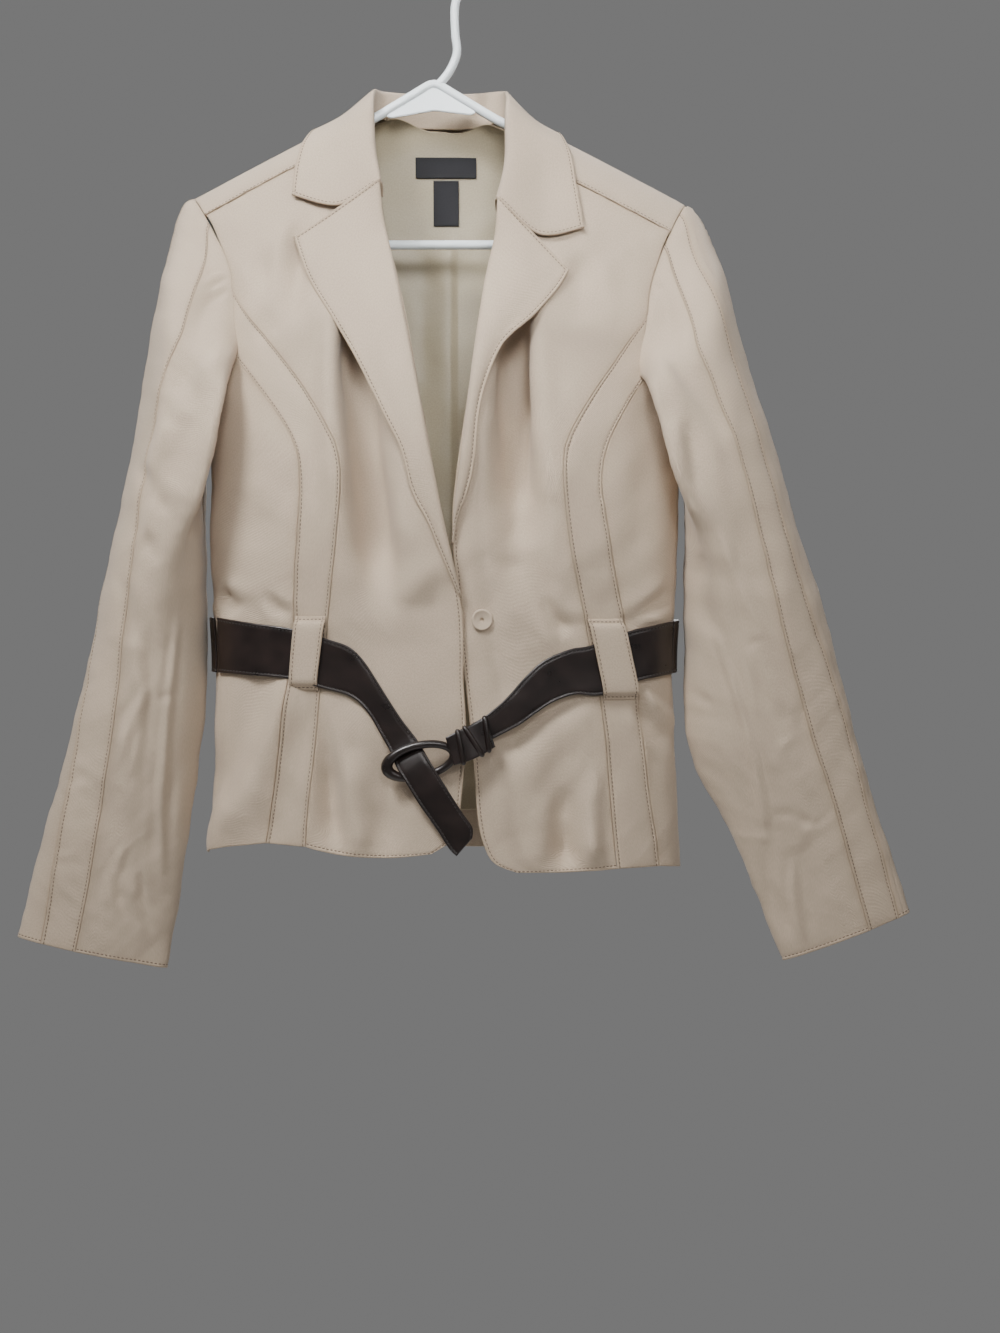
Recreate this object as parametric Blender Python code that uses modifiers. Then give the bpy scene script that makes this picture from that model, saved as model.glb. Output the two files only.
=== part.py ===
"""A belted blazer on a tubular hanger, as sewn panels of cloth with their real thickness.

Tables are in millimetres. X runs to the viewer's right, Y away from the viewer, Z up. The part's origin is
where a rail bears on the inside of the hook, and table heights are counted from HOOK_RISE below it.
Right and left are the wearer's: the right side lies at -X.
"""
import math
from collections import namedtuple

import bmesh
import bpy
from mathutils import Vector

MM = 0.001
HOOK_RISE = 36.0
RIGHT = -1
LEFT = 1
FRONT = -1
BACK = 1
SIDE_NAMES = {RIGHT: "right", LEFT: "left"}

# Wall thicknesses and clearances
SEAM_GAP = 0.3
SHELL = 1.6
COLLAR_WALL = 2.2
LAPEL_WALL = 2.2
LINING_WALL = 1.0
LINING_EASE = 1.2
LABEL_WALL = 0.6
LABEL_LIFT = 1.2
BELT_WALL = 3.0
WRAP_WALL = 2.0
ARMHOLE_STEP = 1.3
ARMHOLE_TUCK = 1.6
ARMHOLE_CENTRE = (-8.0, -310.0)
STEP = 0.002
WELD = 0.00001
SHARP_ANGLE = math.radians(50)

# Body: one row for each level, with its half width, the depth of its side seam and its front and back bulge
Level = namedtuple("Level", "height half_width middle front back")
BODY = [
    Level(-80, 262, 0, 40, 34),
    Level(-140, 258, 0, 44, 36),
    Level(-200, 248, 0, 52, 44),
    Level(-260, 228, -3, 72, 50),
    Level(-320, 211, -8, 88, 55),
    Level(-380, 204, -14, 94, 61),
    Level(-440, 202, -18, 94, 65),
    Level(-500, 202, -20, 86, 66),
    Level(-560, 199, -20, 74, 63),
    Level(-600, 197, -20, 68, 61),
    Level(-640, 198, -20, 66, 61),
    Level(-700, 200, -20, 64, 63),
    Level(-790, 206, -20, 62, 65),
]
FRONT_FULLNESS = 0.8
BACK_FULLNESS = 0.6

# Shoulder ridge over the hanger's arms
RIDGE_X = -10.0
RIDGE_TOP = -100.0
RIDGE_SLOPE = 0.525
RIDGE_ROUND = 30.0
SHOULDER_RADIUS = 45.0
SHOULDER_SEAM_DROP = {RIGHT: 29.7, LEFT: 42.0}

# Hanging folds of the fronts: a trough from its top to its bottom
Fold = namedtuple("Fold", "top_x top bottom_x bottom depth width")
FOLDS = [
    Fold(-60, -290, -50, -585, 32, 19),
    Fold(57, -280, 66, -575, 32, 20),
    Fold(-24, -640, -60, -800, 5, 16),
    Fold(92, -640, 96, -800, 5, 16),
    Fold(-172, -640, -186, -800, 5, 14),
]
# Length over which a fold, the hem's bow or the underlap sets in, and a fold's share that runs out
SET_IN = 60.0
FOLD_RUN_OUT = 0.5

# Armhole: a row for each turn in degrees from the shoulder tip, round by the front
Armhole = namedtuple("Armhole", "turn right_x right_height left_x left_height")
ARMHOLE = [
    Armhole(0, -220, -195.7, 210.5, -201.3),
    Armhole(20, -206, -218.2, 194, -234.4),
    Armhole(45, -184, -262, 178, -275),
    Armhole(70, -178.5, -289, 171.5, -312),
    Armhole(110, -177, -343, 169, -364),
    Armhole(180, -203.5, -405, 203.5, -412),
    Armhole(215, -194, -376, 192, -383),
    Armhole(255, -180, -310, 176, -318),
    Armhole(300, -188, -255, 184, -262),
    Armhole(335, -206, -216, 199, -223),
    Armhole(360, -220, -195.7, 210.5, -201.3),
]
SHOULDER_TURNS = [20, 37, 54]

# Front panels: a row for each section, from the strip's top down to the hem
Section = namedtuple("Section", "inner_x inner outer_x outer edge_x edge side")
FRONT_SECTIONS = {
    RIGHT: [
        Section(-178.5, -289, -177, -343, -42, -262, -405),
        Section(-162.5, -313.5, -155, -371, -35, -290, -415),
        Section(-141, -340, -136.5, -396, -28, -322, -428),
        Section(-123, -363, -125, -415, -22, -356, -440),
        Section(-107.5, -386, -118.5, -431, -17, -385, -450),
        Section(-94, -409, -117, -447, -12, -410, -460),
        Section(-86.5, -428, -117, -462, -8, -432, -470),
        Section(-84, -458, -118, -480, -3, -460, -485),
        Section(-86.5, -500, -120.5, -507, 5, -500, -508),
        Section(-91, -537, -123, -537, 12, -530, -537),
        Section(-95, -569, -124, -568, 17, -562, -568),
        Section(-98.5, -596, -126.5, -596, 18, -590, -595),
        Section(-102, -624, -129, -624, 18, -618, -622),
        Section(-106.5, -672, -136, -676, 20, -662, -672),
        Section(-111, -715, -143, -717, 16, -718, -720),
        Section(-113, -735, -146.5, -734, 12.5, -740, -740),
        Section(-113.7, -746, -148.5, -744.5, 5, -753, -753),
        Section(-114.5, -757, -150.5, -755, -9, -762, -767),
    ],
    LEFT: [
        Section(171.5, -312, 169, -364, 37, -275, -412),
        Section(159, -330, 160, -378, 33, -300, -418),
        Section(147, -348, 151, -393, 29, -325, -426),
        Section(126, -379, 140.5, -414, 24, -362, -440),
        Section(109, -408, 134.5, -433, 19, -400, -452),
        Section(101.5, -428, 132.5, -447, 15.5, -425, -462),
        Section(100.5, -451, 132.5, -461, 12, -450, -472),
        Section(103, -481, 136, -483, 9, -478, -486),
        Section(108, -516, 141.5, -515.5, 9, -512, -512),
        Section(112, -534, 145, -533, 11, -530, -530),
        Section(119, -567, 152, -566, 13, -565, -565),
        Section(125, -598, 158.5, -597, 16, -597, -596),
        Section(131.5, -630, 165, -629, 20, -630, -628),
        Section(137.5, -672, 169, -673, 25, -675, -672),
        Section(142, -725, 176, -725, 29, -730, -725),
        Section(144, -748, 180, -747.5, 34, -754, -750),
        Section(145.3, -763, 182, -762.5, 43, -770, -765),
        Section(146.5, -776, 184, -775.5, 62, -778, -779),
    ],
}
# Neck edge of each front, from the shoulder seam down to the roll line
NeckEdge = namedtuple("NeckEdge", "right_x right left_x left")
NECK_EDGE = [
    NeckEdge(-72, -150, 64, -166),
    NeckEdge(-69, -178, 60, -196),
    NeckEdge(-60, -210, 54, -226),
]
HEM_BOW = {RIGHT: 6.0, LEFT: 1.0}
HEM_BOW_TOP = -690.0
# The wearer's left front lies under the right one
UNDERLAP_DEPTH = 5.0
UNDERLAP_REACH = 80.0
UNDERLAP_TOP = -430.0

# Back: a row for each turn of the armhole, with the centre back or neck edge it meets.
# "over" counts from the shoulder ridge, down the back if positive and down the front if negative.
Yoke = namedtuple("Yoke", "turn neck_x over")
YOKE = {
    RIGHT: [
        Yoke(305, -4, 40), Yoke(325, -30, 25), Yoke(343, -58, 14), Yoke(352, -64, 5),
        Yoke(360, -68, 0), Yoke(366, -70, -6), Yoke(372, -71, -15), Yoke(380, -72, -29.7),
    ],
    LEFT: [
        Yoke(305, -4, 40), Yoke(325, 22, 25), Yoke(343, 48, 14), Yoke(352, 55, 5),
        Yoke(360, 59, 0), Yoke(366, 61, -7), Yoke(372, 62, -19), Yoke(380, 64, -42),
    ],
}
BackRow = namedtuple("BackRow", "turn centre")
BACK_RISE = [BackRow(180, -405), BackRow(197, -380), BackRow(215, -345), BackRow(235, -305),
             BackRow(255, -260), BackRow(285, -190)]
CENTRE_BACK_X = -4.0
# Half a seam gap as a share of the back's width
BACK_INSET = 0.001

# Sleeves: rings from the cap to the cuff. Each has its outer and inner edge, its front and back depth,
# a lean of its front towards the body, how far its front hangs over the body beside the underarm, and the
# turns of the two seams beside the centre strip.
Ring = namedtuple("Ring", "outer_x outer inner_x inner front back lean overhang front_seam back_seam")
SLEEVES = {
    RIGHT: [
        Ring(-243, -258, -207, -426, -84, 46, 14, 29, 76, 5),
        Ring(-257, -335, -208, -448, -94, 50, 14, 27, 66, 0),
        Ring(-270, -420, -208.5, -482, -95, 46, 12, 21, 58, 0),
        Ring(-285, -496, -207, -524, -90, 38, 6, 6, 68, 8),
        Ring(-300, -571, -206, -588, -80, 26, 2, 0, 71, 18),
        Ring(-313, -631, -207, -646, -72, 15, 0, 0, 75, 30),
        Ring(-328, -690, -214, -708, -64, 5, 0, 0, 77, 38),
        Ring(-343, -745, -224, -770, -56, -5, 0, 0, 79, 42),
        Ring(-357, -794, -231, -822, -48, -11, 0, 0, 80, 47),
        Ring(-369, -839, -239, -866, -42, -15, 0, 0, 80, 50),
    ],
    LEFT: [
        Ring(241, -260, 207, -432, -84, 46, 14, 34, 80, 46),
        Ring(261, -335, 208, -452, -94, 50, 14, 31, 75, 41),
        Ring(281, -402, 208.5, -484, -95, 46, 12, 24, 70, 39),
        Ring(303, -480, 207, -526, -90, 38, 6, 6, 72, 42),
        Ring(324, -546, 206.5, -586, -80, 26, 2, 0, 73, 42),
        Ring(338, -601, 207, -640, -72, 15, 0, 0, 69, 33),
        Ring(352, -659, 214, -688, -64, 5, 0, 0, 65, 26),
        Ring(369, -718, 238, -732, -56, -5, 0, 0, 65, 28),
        Ring(387, -770, 263, -786, -48, -11, 0, 0, 69, 33),
        Ring(401, -818, 291, -860, -42, -15, 0, 0, 71, 36),
    ],
}
OVERHANG_TURN = 110.0
OVERHANG_SPREAD = 20.0
OVERHANG_FORWARD = 0.7
# Below its overhang the sleeve's edge stands off the side front
STAND_OFF = 2.6
STAND_OFF_TURN = 128.0
STAND_OFF_SPREAD = 24.0
CAP_SEAM_TURNS = {RIGHT: (25, 0), LEFT: (28, 8)}
# Fullness of the sleeve's head just past the armhole
CAP_FULLNESS = 6.0
UNDERARM_TURN = 180
ELBOW_TURN = 265
STRIP_OUTER_TURN = 110
# Half a seam gap, in degrees of a sleeve's turn
SLEEVE_INSET = 0.16

# Lapels: roll line and outer edge, from the gorge down to where the front edge begins
LapelRow = namedtuple("LapelRow", "roll_x roll edge_x edge")
LAPELS = {
    RIGHT: [
        LapelRow(-54.5, -201, -126, -243.5),
        LapelRow(-48.5, -230, -112, -282),
        LapelRow(-40, -268, -87, -324),
        LapelRow(-29.5, -318, -68, -358),
        LapelRow(-20.5, -364, -48, -399),
        LapelRow(-12, -408, -33, -430),
        LapelRow(-4, -450, -24, -464.5),
        LapelRow(4, -490, -12, -487),
        LapelRow(11, -522, 1, -518),
        LapelRow(17, -549, 13, -546),
    ],
    LEFT: [
        LapelRow(47.2, -218, 106, -274.5),
        LapelRow(42.5, -243, 96, -292),
        LapelRow(36, -276, 76, -316),
        LapelRow(31, -306, 57, -333.5),
        LapelRow(27, -332, 47, -347.5),
        LapelRow(22.5, -368, 36.5, -376),
        LapelRow(18.5, -402, 31, -402),
        LapelRow(14, -440, 27.5, -440),
        LapelRow(10.5, -466, 22, -463),
        LapelRow(8.5, -488, 14, -484),
        LapelRow(7, -506, 10, -505),
    ],
}
LAPEL_LIFT = 3.2
LAPEL_BULGE = 3.5
LAPEL_CROWN = 1.2

# Collar: a row for each section along its fold, with the foot of the stand, the fold, and the middle and
# outer edge of the fall. The fall's points lie on the body, given by x and by "over" as for the back.
CollarRow = namedtuple("CollarRow", "foot_x foot_y foot fold_x fold_y fold "
                       "middle_x middle_over edge_x edge_over")
COLLAR = [
    CollarRow(-51, -52, -207, -54.5, -64, -198, -88.5, -90, -128.5, -54.5),
    CollarRow(-59, -36, -179, -60, -54, -165, -94, -50, -126, -34),
    CollarRow(-63, -22, -140, -62.5, -36, -126, -92, -18, -120, -13),
    CollarRow(-64.5, -2, -117, -63, -4, -100, -87, 0, -110, 0),
    CollarRow(-58, 17, -118, -57, 19, -94, -78, 14, -96, 22),
    CollarRow(-34, 26.5, -123, -34, 33, -91, -44, 27, -56, 50),
    CollarRow(-4, 29, -124, -4, 37, -90, -4, 29, -4, 58),
    CollarRow(26, 26.5, -124, 26, 33, -91, 36, 27, 48, 50),
    CollarRow(49, 17, -120, 49, 19, -94, 69, 14, 87, 22),
    CollarRow(55.5, -2, -121, 54.5, -4, -103, 76, 0, 96, 0),
    CollarRow(54, -22, -146, 54, -38, -131, 81, -18, 106, -18),
    CollarRow(53, -38, -193, 54, -58, -175, 85, -60, 113.5, -51),
    CollarRow(44, -50, -218, 47.2, -70, -214.5, 80.5, -111.5, 118.5, -84),
]
COLLAR_LIFT = (6.4, 5.2)

# Belt stretches: upper and lower edge from the side to the buckle, and the lift of the strap off the cloth
BeltRow = namedtuple("BeltRow", "upper_x upper lower_x lower lift")
BELT_RIGHT = [
    BeltRow(-190, -564, -190, -611, 1.4),
    BeltRow(-160, -569, -160, -613.5, 1.4),
    BeltRow(-125, -574, -126.5, -616.5, 1.4),
    BeltRow(-94, -583, -100, -624, 1.4),
    BeltRow(-77, -589, -88, -627, 1.6),
    BeltRow(-66, -599, -78, -630, 1.6),
    BeltRow(-57, -612, -69, -635.5, 1.6),
    BeltRow(-46, -630, -60, -646, 1.6),
    BeltRow(-34, -648.5, -52, -660, 1.6),
    BeltRow(-21.5, -665, -43, -676, 2.2),
    BeltRow(-14, -676, -37, -689, 8.0),
    BeltRow(-8, -686, -30, -700, 10.8),
    BeltRow(4, -706, -18, -720, 10.0),
    BeltRow(17, -727, -4, -741, 7.0),
    BeltRow(25, -739, 6, -757, 5.0),
    BeltRow(25, -748, 12, -763, 4.5),
]
BELT_LEFT = [
    BeltRow(192, -567, 192, -612, 1.8),
    BeltRow(176, -571, 178, -615, 1.8),
    BeltRow(155, -576, 160, -619, 1.6),
    BeltRow(123, -588, 131.5, -630, 1.4),
    BeltRow(106.5, -591, 110, -629.5, 1.6),
    BeltRow(85, -600, 92, -635.5, 1.6),
    BeltRow(69, -614, 78, -644.5, 1.6),
    BeltRow(52, -633, 63, -655, 1.6),
    BeltRow(35.5, -647, 45, -664.5, 0.8),
    BeltRow(24, -653.5, 33, -671, 0.6),
]
BELT_WRAP = [
    BeltRow(40, -643, 50, -662, 5.0),
    BeltRow(31, -648, 41, -668, 6.0),
    BeltRow(20, -654, 29, -675, 11.4),
    BeltRow(8, -661, 15, -682, 11.8),
]
# Back of the belt: turn in degrees round the body from the centre front, with the strap's two edges
BeltTurn = namedtuple("BeltTurn", "turn upper lower")
BELT_BACK = [
    BeltTurn(-282.8, -567, -612), BeltTurn(-270, -565, -611), BeltTurn(-240, -563, -610),
    BeltTurn(-180, -562, -610), BeltTurn(-120, -562, -610), BeltTurn(-90, -563, -610.5),
    BeltTurn(-76.5, -564, -611),
]
BELT_BACK_LIFT = 1.5

# Belt loops: upper and lower rows of the strip, lifted over the belt
LoopRow = namedtuple("LoopRow", "height lift")
LOOPS = {
    RIGHT: [LoopRow(-561, 0.9), LoopRow(-567, 1.8), LoopRow(-573, 5.6), LoopRow(-600, 6.0),
            LoopRow(-624, 5.6), LoopRow(-629, 1.8), LoopRow(-633, 0.9)],
    LEFT: [LoopRow(-561, 0.9), LoopRow(-567, 1.8), LoopRow(-573, 5.6), LoopRow(-604, 6.0),
           LoopRow(-632, 5.6), LoopRow(-637, 1.8), LoopRow(-641, 0.9)],
}
LOOP_WALL = 1.6
LOOP_INSET = 0.06
SeamPoint = namedtuple("SeamPoint", "height x")

# Buckle ring
BUCKLE_CENTRE = (-14.0, -92.5, -683.0)
BUCKLE_HALF_LENGTH = 32.0
BUCKLE_HALF_WIDTH = 14.5
BUCKLE_TUBE = 3.0
BUCKLE_SLANT = math.radians(13)
BUCKLE_TIP_BACK = 3.0
BUCKLE_POINTS = 28

# Button
BUTTON_X = 33.0
BUTTON_HEIGHT = -567.0
BUTTON_RADIUS = 8.8
BUTTON_WALL = 3.0
BUTTON_ROUND = 0.8
BUTTON_LIFT = 1.0
BUTTON_SIDES = 28

# Lining and labels, inside the back
LINING_HALF_WIDTH = 146.0
LINING_TOP_DROP = 32.0
LINING_BOTTOM = -735.0
LABEL_NECK = (-28.0, 27.0, -148.0, -166.0)
LABEL_SIZE = (-12.0, 11.0, -168.0, -208.0)

# Hanger
TUBE = 4.0
HOOK_TUBE = 3.7
TUBE_RESOLUTION = 2
HANGER_APEX = (-10.0, -92.0)
ARM_START = 52.0
ARM_END = 184.0
ARM_CLEARANCE = 1.2
BAR_HEIGHT = -235.0
END_RADIUS = 17.0
END_SET_BACK = 4.0
END_STEPS = 4
HOOK_RADIUS = 24.0
HOOK_START_ANGLE = math.radians(-20)
HOOK_TIP_ANGLE = math.radians(205)
HOOK_STEPS = 14
STEM = [(-8.0, -96.0), (3.0, -83.0), (10.0, -66.0), (8.5, -48.0), (8.5, -24.0), (14.5, -6.0)]
WEB = [(-10.0, -91.0), (-54.0, -117.0), (-50.0, -124.0), (-10.0, -117.0), (24.0, -121.0), (30.0, -115.0)]
WEB_HALF_WALL = 1.6

# Finishes: colour and roughness
CLOTH = ((0.56, 0.47, 0.38), 0.85)
SATIN = ((0.42, 0.36, 0.25), 0.45)
BLACK = ((0.012, 0.012, 0.016), 0.7)
LEATHER = ((0.02, 0.012, 0.01), 0.35)
PLASTIC = ((0.8, 0.86, 0.89), 0.3)

# Grid of each kind of panel: cells across, and cells along where they don't follow its table's rows
ACROSS = {
    "front": 12, "strip": 2, "side": 5, "back": 9, "sleeve_front": 6, "sleeve_strip": 2,
    "sleeve_back": 7, "sleeve_under": 5, "lapel": 4, "loop": 2, "collar": 24, "lining_back": 12,
    "label_neck": 4, "label_size": 4, "belt_right": 3, "belt_left": 3, "belt_back": 2, "belt_wrap": 3,
}
ALONG = {
    "sleeve_front": 20, "sleeve_strip": 20, "sleeve_back": 20, "sleeve_under": 20, "lapel": 14,
    "loop": 6, "collar": 8, "lining_back": 10, "label_neck": 3, "label_size": 3, "belt_right": 24,
    "belt_left": 14, "belt_back": 24, "belt_wrap": 6,
}


def blend(rows, position):
    """The row at a position counted in rows, on a smooth curve through the rows."""
    index = min(max(int(position), 0), len(rows) - 2)
    part = position - index
    before = rows[max(index - 1, 0)]
    first = rows[index]
    second = rows[index + 1]
    after = rows[min(index + 2, len(rows) - 1)]
    values = []
    for a, b, c, d in zip(before, first, second, after):
        cubic = 3 * b - 3 * c + d - a
        square = 2 * a - 5 * b + 4 * c - d
        values.append(b + 0.5 * part * (c - a + part * (square + part * cubic)))
    return values


def row_at(rows, value):
    """The row whose first column has this value; the first column rises or falls all the way."""
    sign = 1 if rows[-1][0] > rows[0][0] else -1
    last = len(rows) - 2
    index = 0
    while index < last and sign * rows[index + 1][0] < sign * value:
        index += 1
    before = rows[max(index - 1, 0)]
    first = rows[index]
    second = rows[index + 1]
    after = rows[min(index + 2, len(rows) - 1)]
    span = second[0] - first[0]
    part = min(max((value - first[0]) / span, 0.0), 1.0)
    values = []
    for a, b, c, d in zip(before, first, second, after):
        start = (c - a) * span / (second[0] - before[0])
        end = (d - b) * span / (after[0] - first[0])
        cubic = 2 * b - 2 * c + start + end
        square = 3 * c - 3 * b - 2 * start - end
        values.append(b + part * (start + part * (square + part * cubic)))
    return type(first)(*values)


def ease(value, start, end):
    """Zero at the start and one at the end, with a soft rise between."""
    part = min(max((value - start) / (end - start), 0.0), 1.0)
    return part * part * (3 - 2 * part)


def bump(turn, middle, spread):
    """A smooth rise from 0 to 1 at the middle turn and back to 0."""
    away = (turn % 360 - middle) / spread
    return math.exp(-away * away)


def ridge(x):
    """Height of the shoulder ridge."""
    return RIDGE_TOP - RIDGE_SLOPE * (math.hypot(x - RIDGE_X, RIDGE_ROUND) - RIDGE_ROUND)


def fold_depth(x, height):
    """How far the hanging folds take the front back from its smooth form."""
    depth = 0.0
    for fold in FOLDS:
        share = (height - fold.top) / (fold.bottom - fold.top)
        if 0.0 < share < 1.0:
            middle = fold.top_x + (fold.bottom_x - fold.top_x) * share
            fade = ease(fold.top - height, 0, SET_IN) * ease(1 - share, 0, FOLD_RUN_OUT)
            depth += fold.depth * fade * math.exp(-((x - middle) / fold.width) ** 2)
    return depth


def angle_at(x, height):
    """Turn round the body, from its middle, at which a level reaches x."""
    ratio = x / row_at(BODY, height).half_width
    return math.asin(min(max(ratio, -1.0), 1.0))


def body_point(angle, height, face, folded=False):
    """A point of the body's outer surface."""
    level = row_at(BODY, height)
    x = level.half_width * math.sin(angle)
    level_part = max(math.cos(angle), 0.0)
    drop = min(max(ridge(x) - height, 0.0), SHOULDER_RADIUS)
    rounding = math.sqrt(1 - (1 - drop / SHOULDER_RADIUS) ** 2)
    if face == BACK:
        y = level.middle + level.back * level_part ** BACK_FULLNESS * rounding
    else:
        y = level.middle - level.front * level_part ** FRONT_FULLNESS * rounding
        if folded:
            y += fold_depth(x, height)
    return Vector((x, y, height))


def over_point(x, over):
    """A point of the body's surface counted from the shoulder ridge."""
    height = ridge(x) - abs(over)
    return body_point(angle_at(x, height), height, BACK if over > 0 else FRONT)


def over_normal(x, over):
    """Outward normal of the body's surface at a place counted from the shoulder ridge."""
    along_x = over_point(x + 1, over) - over_point(x - 1, over)
    along_over = over_point(x, over + 1) - over_point(x, over - 1)
    return along_x.cross(along_over).normalized()


def front_point(x, height):
    """A point of the front's smooth outer surface."""
    return body_point(angle_at(x, height), height, FRONT)


def normal_at(place, u, v):
    """Unit normal of a surface, from small steps along it."""
    u_low, u_high = max(u - STEP, 0.0), min(u + STEP, 1.0)
    v_low, v_high = max(v - STEP, 0.0), min(v + STEP, 1.0)
    along_u = place(u_high, v) - place(u_low, v)
    along_v = place(u, v_high) - place(u, v_low)
    return along_u.cross(along_v).normalized()


def lifted(place, lift, outward):
    """The surface moved along its normals; lift may depend on u and v."""
    def moved(u, v):
        height = lift(u, v) if callable(lift) else lift
        return place(u, v) + normal_at(place, u, v) * outward * height
    return moved


def to_world(point):
    """From the tables' millimetres to metres below the hook."""
    return Vector((point[0], point[1], point[2] - HOOK_RISE)) * MM


def principled(name, colour, roughness, metallic=0.0):
    """A plain material."""
    material = bpy.data.materials.new(name)
    material.use_nodes = True
    shader = material.node_tree.nodes["Principled BSDF"]
    shader.inputs["Base Color"].default_value = (*colour, 1.0)
    shader.inputs["Roughness"].default_value = roughness
    shader.inputs["Metallic"].default_value = metallic
    return material


def add_object(name, mesh, finish, parts):
    """An object in the parts' collection, with a material of its own."""
    item = bpy.data.objects.new(name, mesh)
    parts.objects.link(item)
    colour, roughness = finish
    mesh.materials.append(principled(name, colour, roughness))
    return item


def add_sheet(kind, place, wall, outward, finish, parts, side=None, along=None):
    """A cloth panel: a grid on the surface, with a second layer one wall thickness inside it."""
    name = kind if side is None else kind + "_" + SIDE_NAMES[side]
    mesh = bpy.data.meshes.new(name)
    cloth = bmesh.new()
    bmesh.ops.create_grid(cloth, x_segments=ACROSS[kind], y_segments=along or ALONG[kind], size=0.5)
    whole = cloth.faces[:] + cloth.edges[:] + cloth.verts[:]
    made = bmesh.ops.extrude_face_region(cloth, geom=whole, use_keep_orig=True)
    inner = {item for item in made["geom"] if isinstance(item, bmesh.types.BMVert)}
    for vert in cloth.verts:
        u = vert.co.x + 0.5
        v = vert.co.y + 0.5
        depth = wall if vert in inner else 0.0
        vert.co = to_world(place(u, v) - normal_at(place, u, v) * outward * depth)
    bmesh.ops.recalc_face_normals(cloth, faces=cloth.faces)
    cloth.to_mesh(mesh)
    cloth.free()
    mesh.shade_smooth()
    mesh.set_sharp_from_angle(angle=SHARP_ANGLE)
    return add_object(name, mesh, finish, parts)


def ruled(first, second, face, folded, sag=None):
    """A panel between two edges, each a list of (x, height) rows, half a seam gap inside both."""
    def place(u, v):
        position = v * (len(first) - 1)
        x_one, height_one = blend(first, position)
        x_two, height_two = blend(second, position)
        angle_one = angle_at(x_one, height_one)
        angle_two = angle_at(x_two, height_two)
        start = body_point(angle_one, height_one, face)
        end = body_point(angle_two, height_two, face)
        inset = 0.5 * SEAM_GAP / (end - start).length
        share = inset + u * (1 - 2 * inset)
        angle = angle_one + (angle_two - angle_one) * share
        height = height_one + (height_two - height_one) * share
        if sag is not None:
            height -= sag(share, angle, height, position)
        return body_point(angle, height, face, folded)
    return place


def armhole_row(turn, side):
    """Place of the armhole at a turn from the shoulder tip, as x and height."""
    turn %= 360
    if STRIP_OUTER_TURN < turn < UNDERARM_TURN:
        x_one, height_one = armhole_row(STRIP_OUTER_TURN, side)
        height_two = armhole_row(UNDERARM_TURN, side)[1]
        share = (turn - STRIP_OUTER_TURN) / (UNDERARM_TURN - STRIP_OUTER_TURN)
        height = height_one + (height_two - height_one) * share
        angle_one = angle_at(x_one, height_one)
        angle = angle_one + (side * math.pi / 2 - angle_one) * share
        return row_at(BODY, height).half_width * math.sin(angle), height
    row = row_at(ARMHOLE, turn)
    if side == RIGHT:
        return row.right_x, row.right_height
    return row.left_x, row.left_height


def neck_rows(side):
    """Neck edge of a front as x and height."""
    return [(row.right_x, row.right) if side == RIGHT else (row.left_x, row.left) for row in NECK_EDGE]


def front_sag(side):
    """The front's top edge keeps beside the shoulder seam, and its hem hangs in a shallow bow."""
    def sag(share, angle, height, position):
        bow = HEM_BOW[side] * 4 * share * (1 - share) * ease(HEM_BOW_TOP - height, 0, SET_IN)
        x = row_at(BODY, height).half_width * math.sin(angle)
        seam = ridge(x) - SHOULDER_SEAM_DROP[side] - SEAM_GAP
        return bow + (height - seam) * max(1 - position, 0.0)
    return sag


def underlap(x, height):
    """How far the wearer's left front lies behind the right one."""
    return UNDERLAP_DEPTH * (1 - ease(x, 0, UNDERLAP_REACH)) * ease(UNDERLAP_TOP - height, 0, SET_IN)


def front_surface(side):
    """Centre front from the front edge, u=0, to the armhole and the strip, u=1."""
    sections = FRONT_SECTIONS[side]
    edge = neck_rows(side) + [(row.edge_x, row.edge) for row in sections]
    seam = [armhole_row(turn, side) for turn in SHOULDER_TURNS]
    seam += [(row.inner_x, row.inner) for row in sections]
    place = ruled(edge, seam, FRONT, True, front_sag(side))
    if side == RIGHT:
        return place

    def under(u, v):
        point = place(u, v)
        return point + Vector((0, underlap(point.x, point.z), 0))
    return under


def strip_surface(side):
    """Inset strip between the two princess seams."""
    sections = FRONT_SECTIONS[side]
    inner = [(row.inner_x, row.inner) for row in sections]
    outer = [(row.outer_x, row.outer) for row in sections]
    return ruled(inner, outer, FRONT, True)


def side_surface(side):
    """Side front between the strip and the side seam."""
    sections = FRONT_SECTIONS[side]
    outer = [(row.outer_x, row.outer) for row in sections]
    seam = [(side * row_at(BODY, row.side).half_width, row.side) for row in sections]
    return ruled(outer, seam, FRONT, True)


def back_rows(side):
    """Rows of the back from the hem up and over the shoulder: two ends, each an angle and a height."""
    rows = []
    for section, other in zip(reversed(FRONT_SECTIONS[side]), reversed(FRONT_SECTIONS[-side])):
        centre = 0.5 * (section.side + other.side)
        rows.append((side * math.pi / 2, section.side, angle_at(CENTRE_BACK_X, centre), centre))
    for row in BACK_RISE[1:]:
        x, height = armhole_row(row.turn, side)
        rows.append((angle_at(x, height), height, angle_at(CENTRE_BACK_X, row.centre), row.centre))
    return rows


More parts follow.
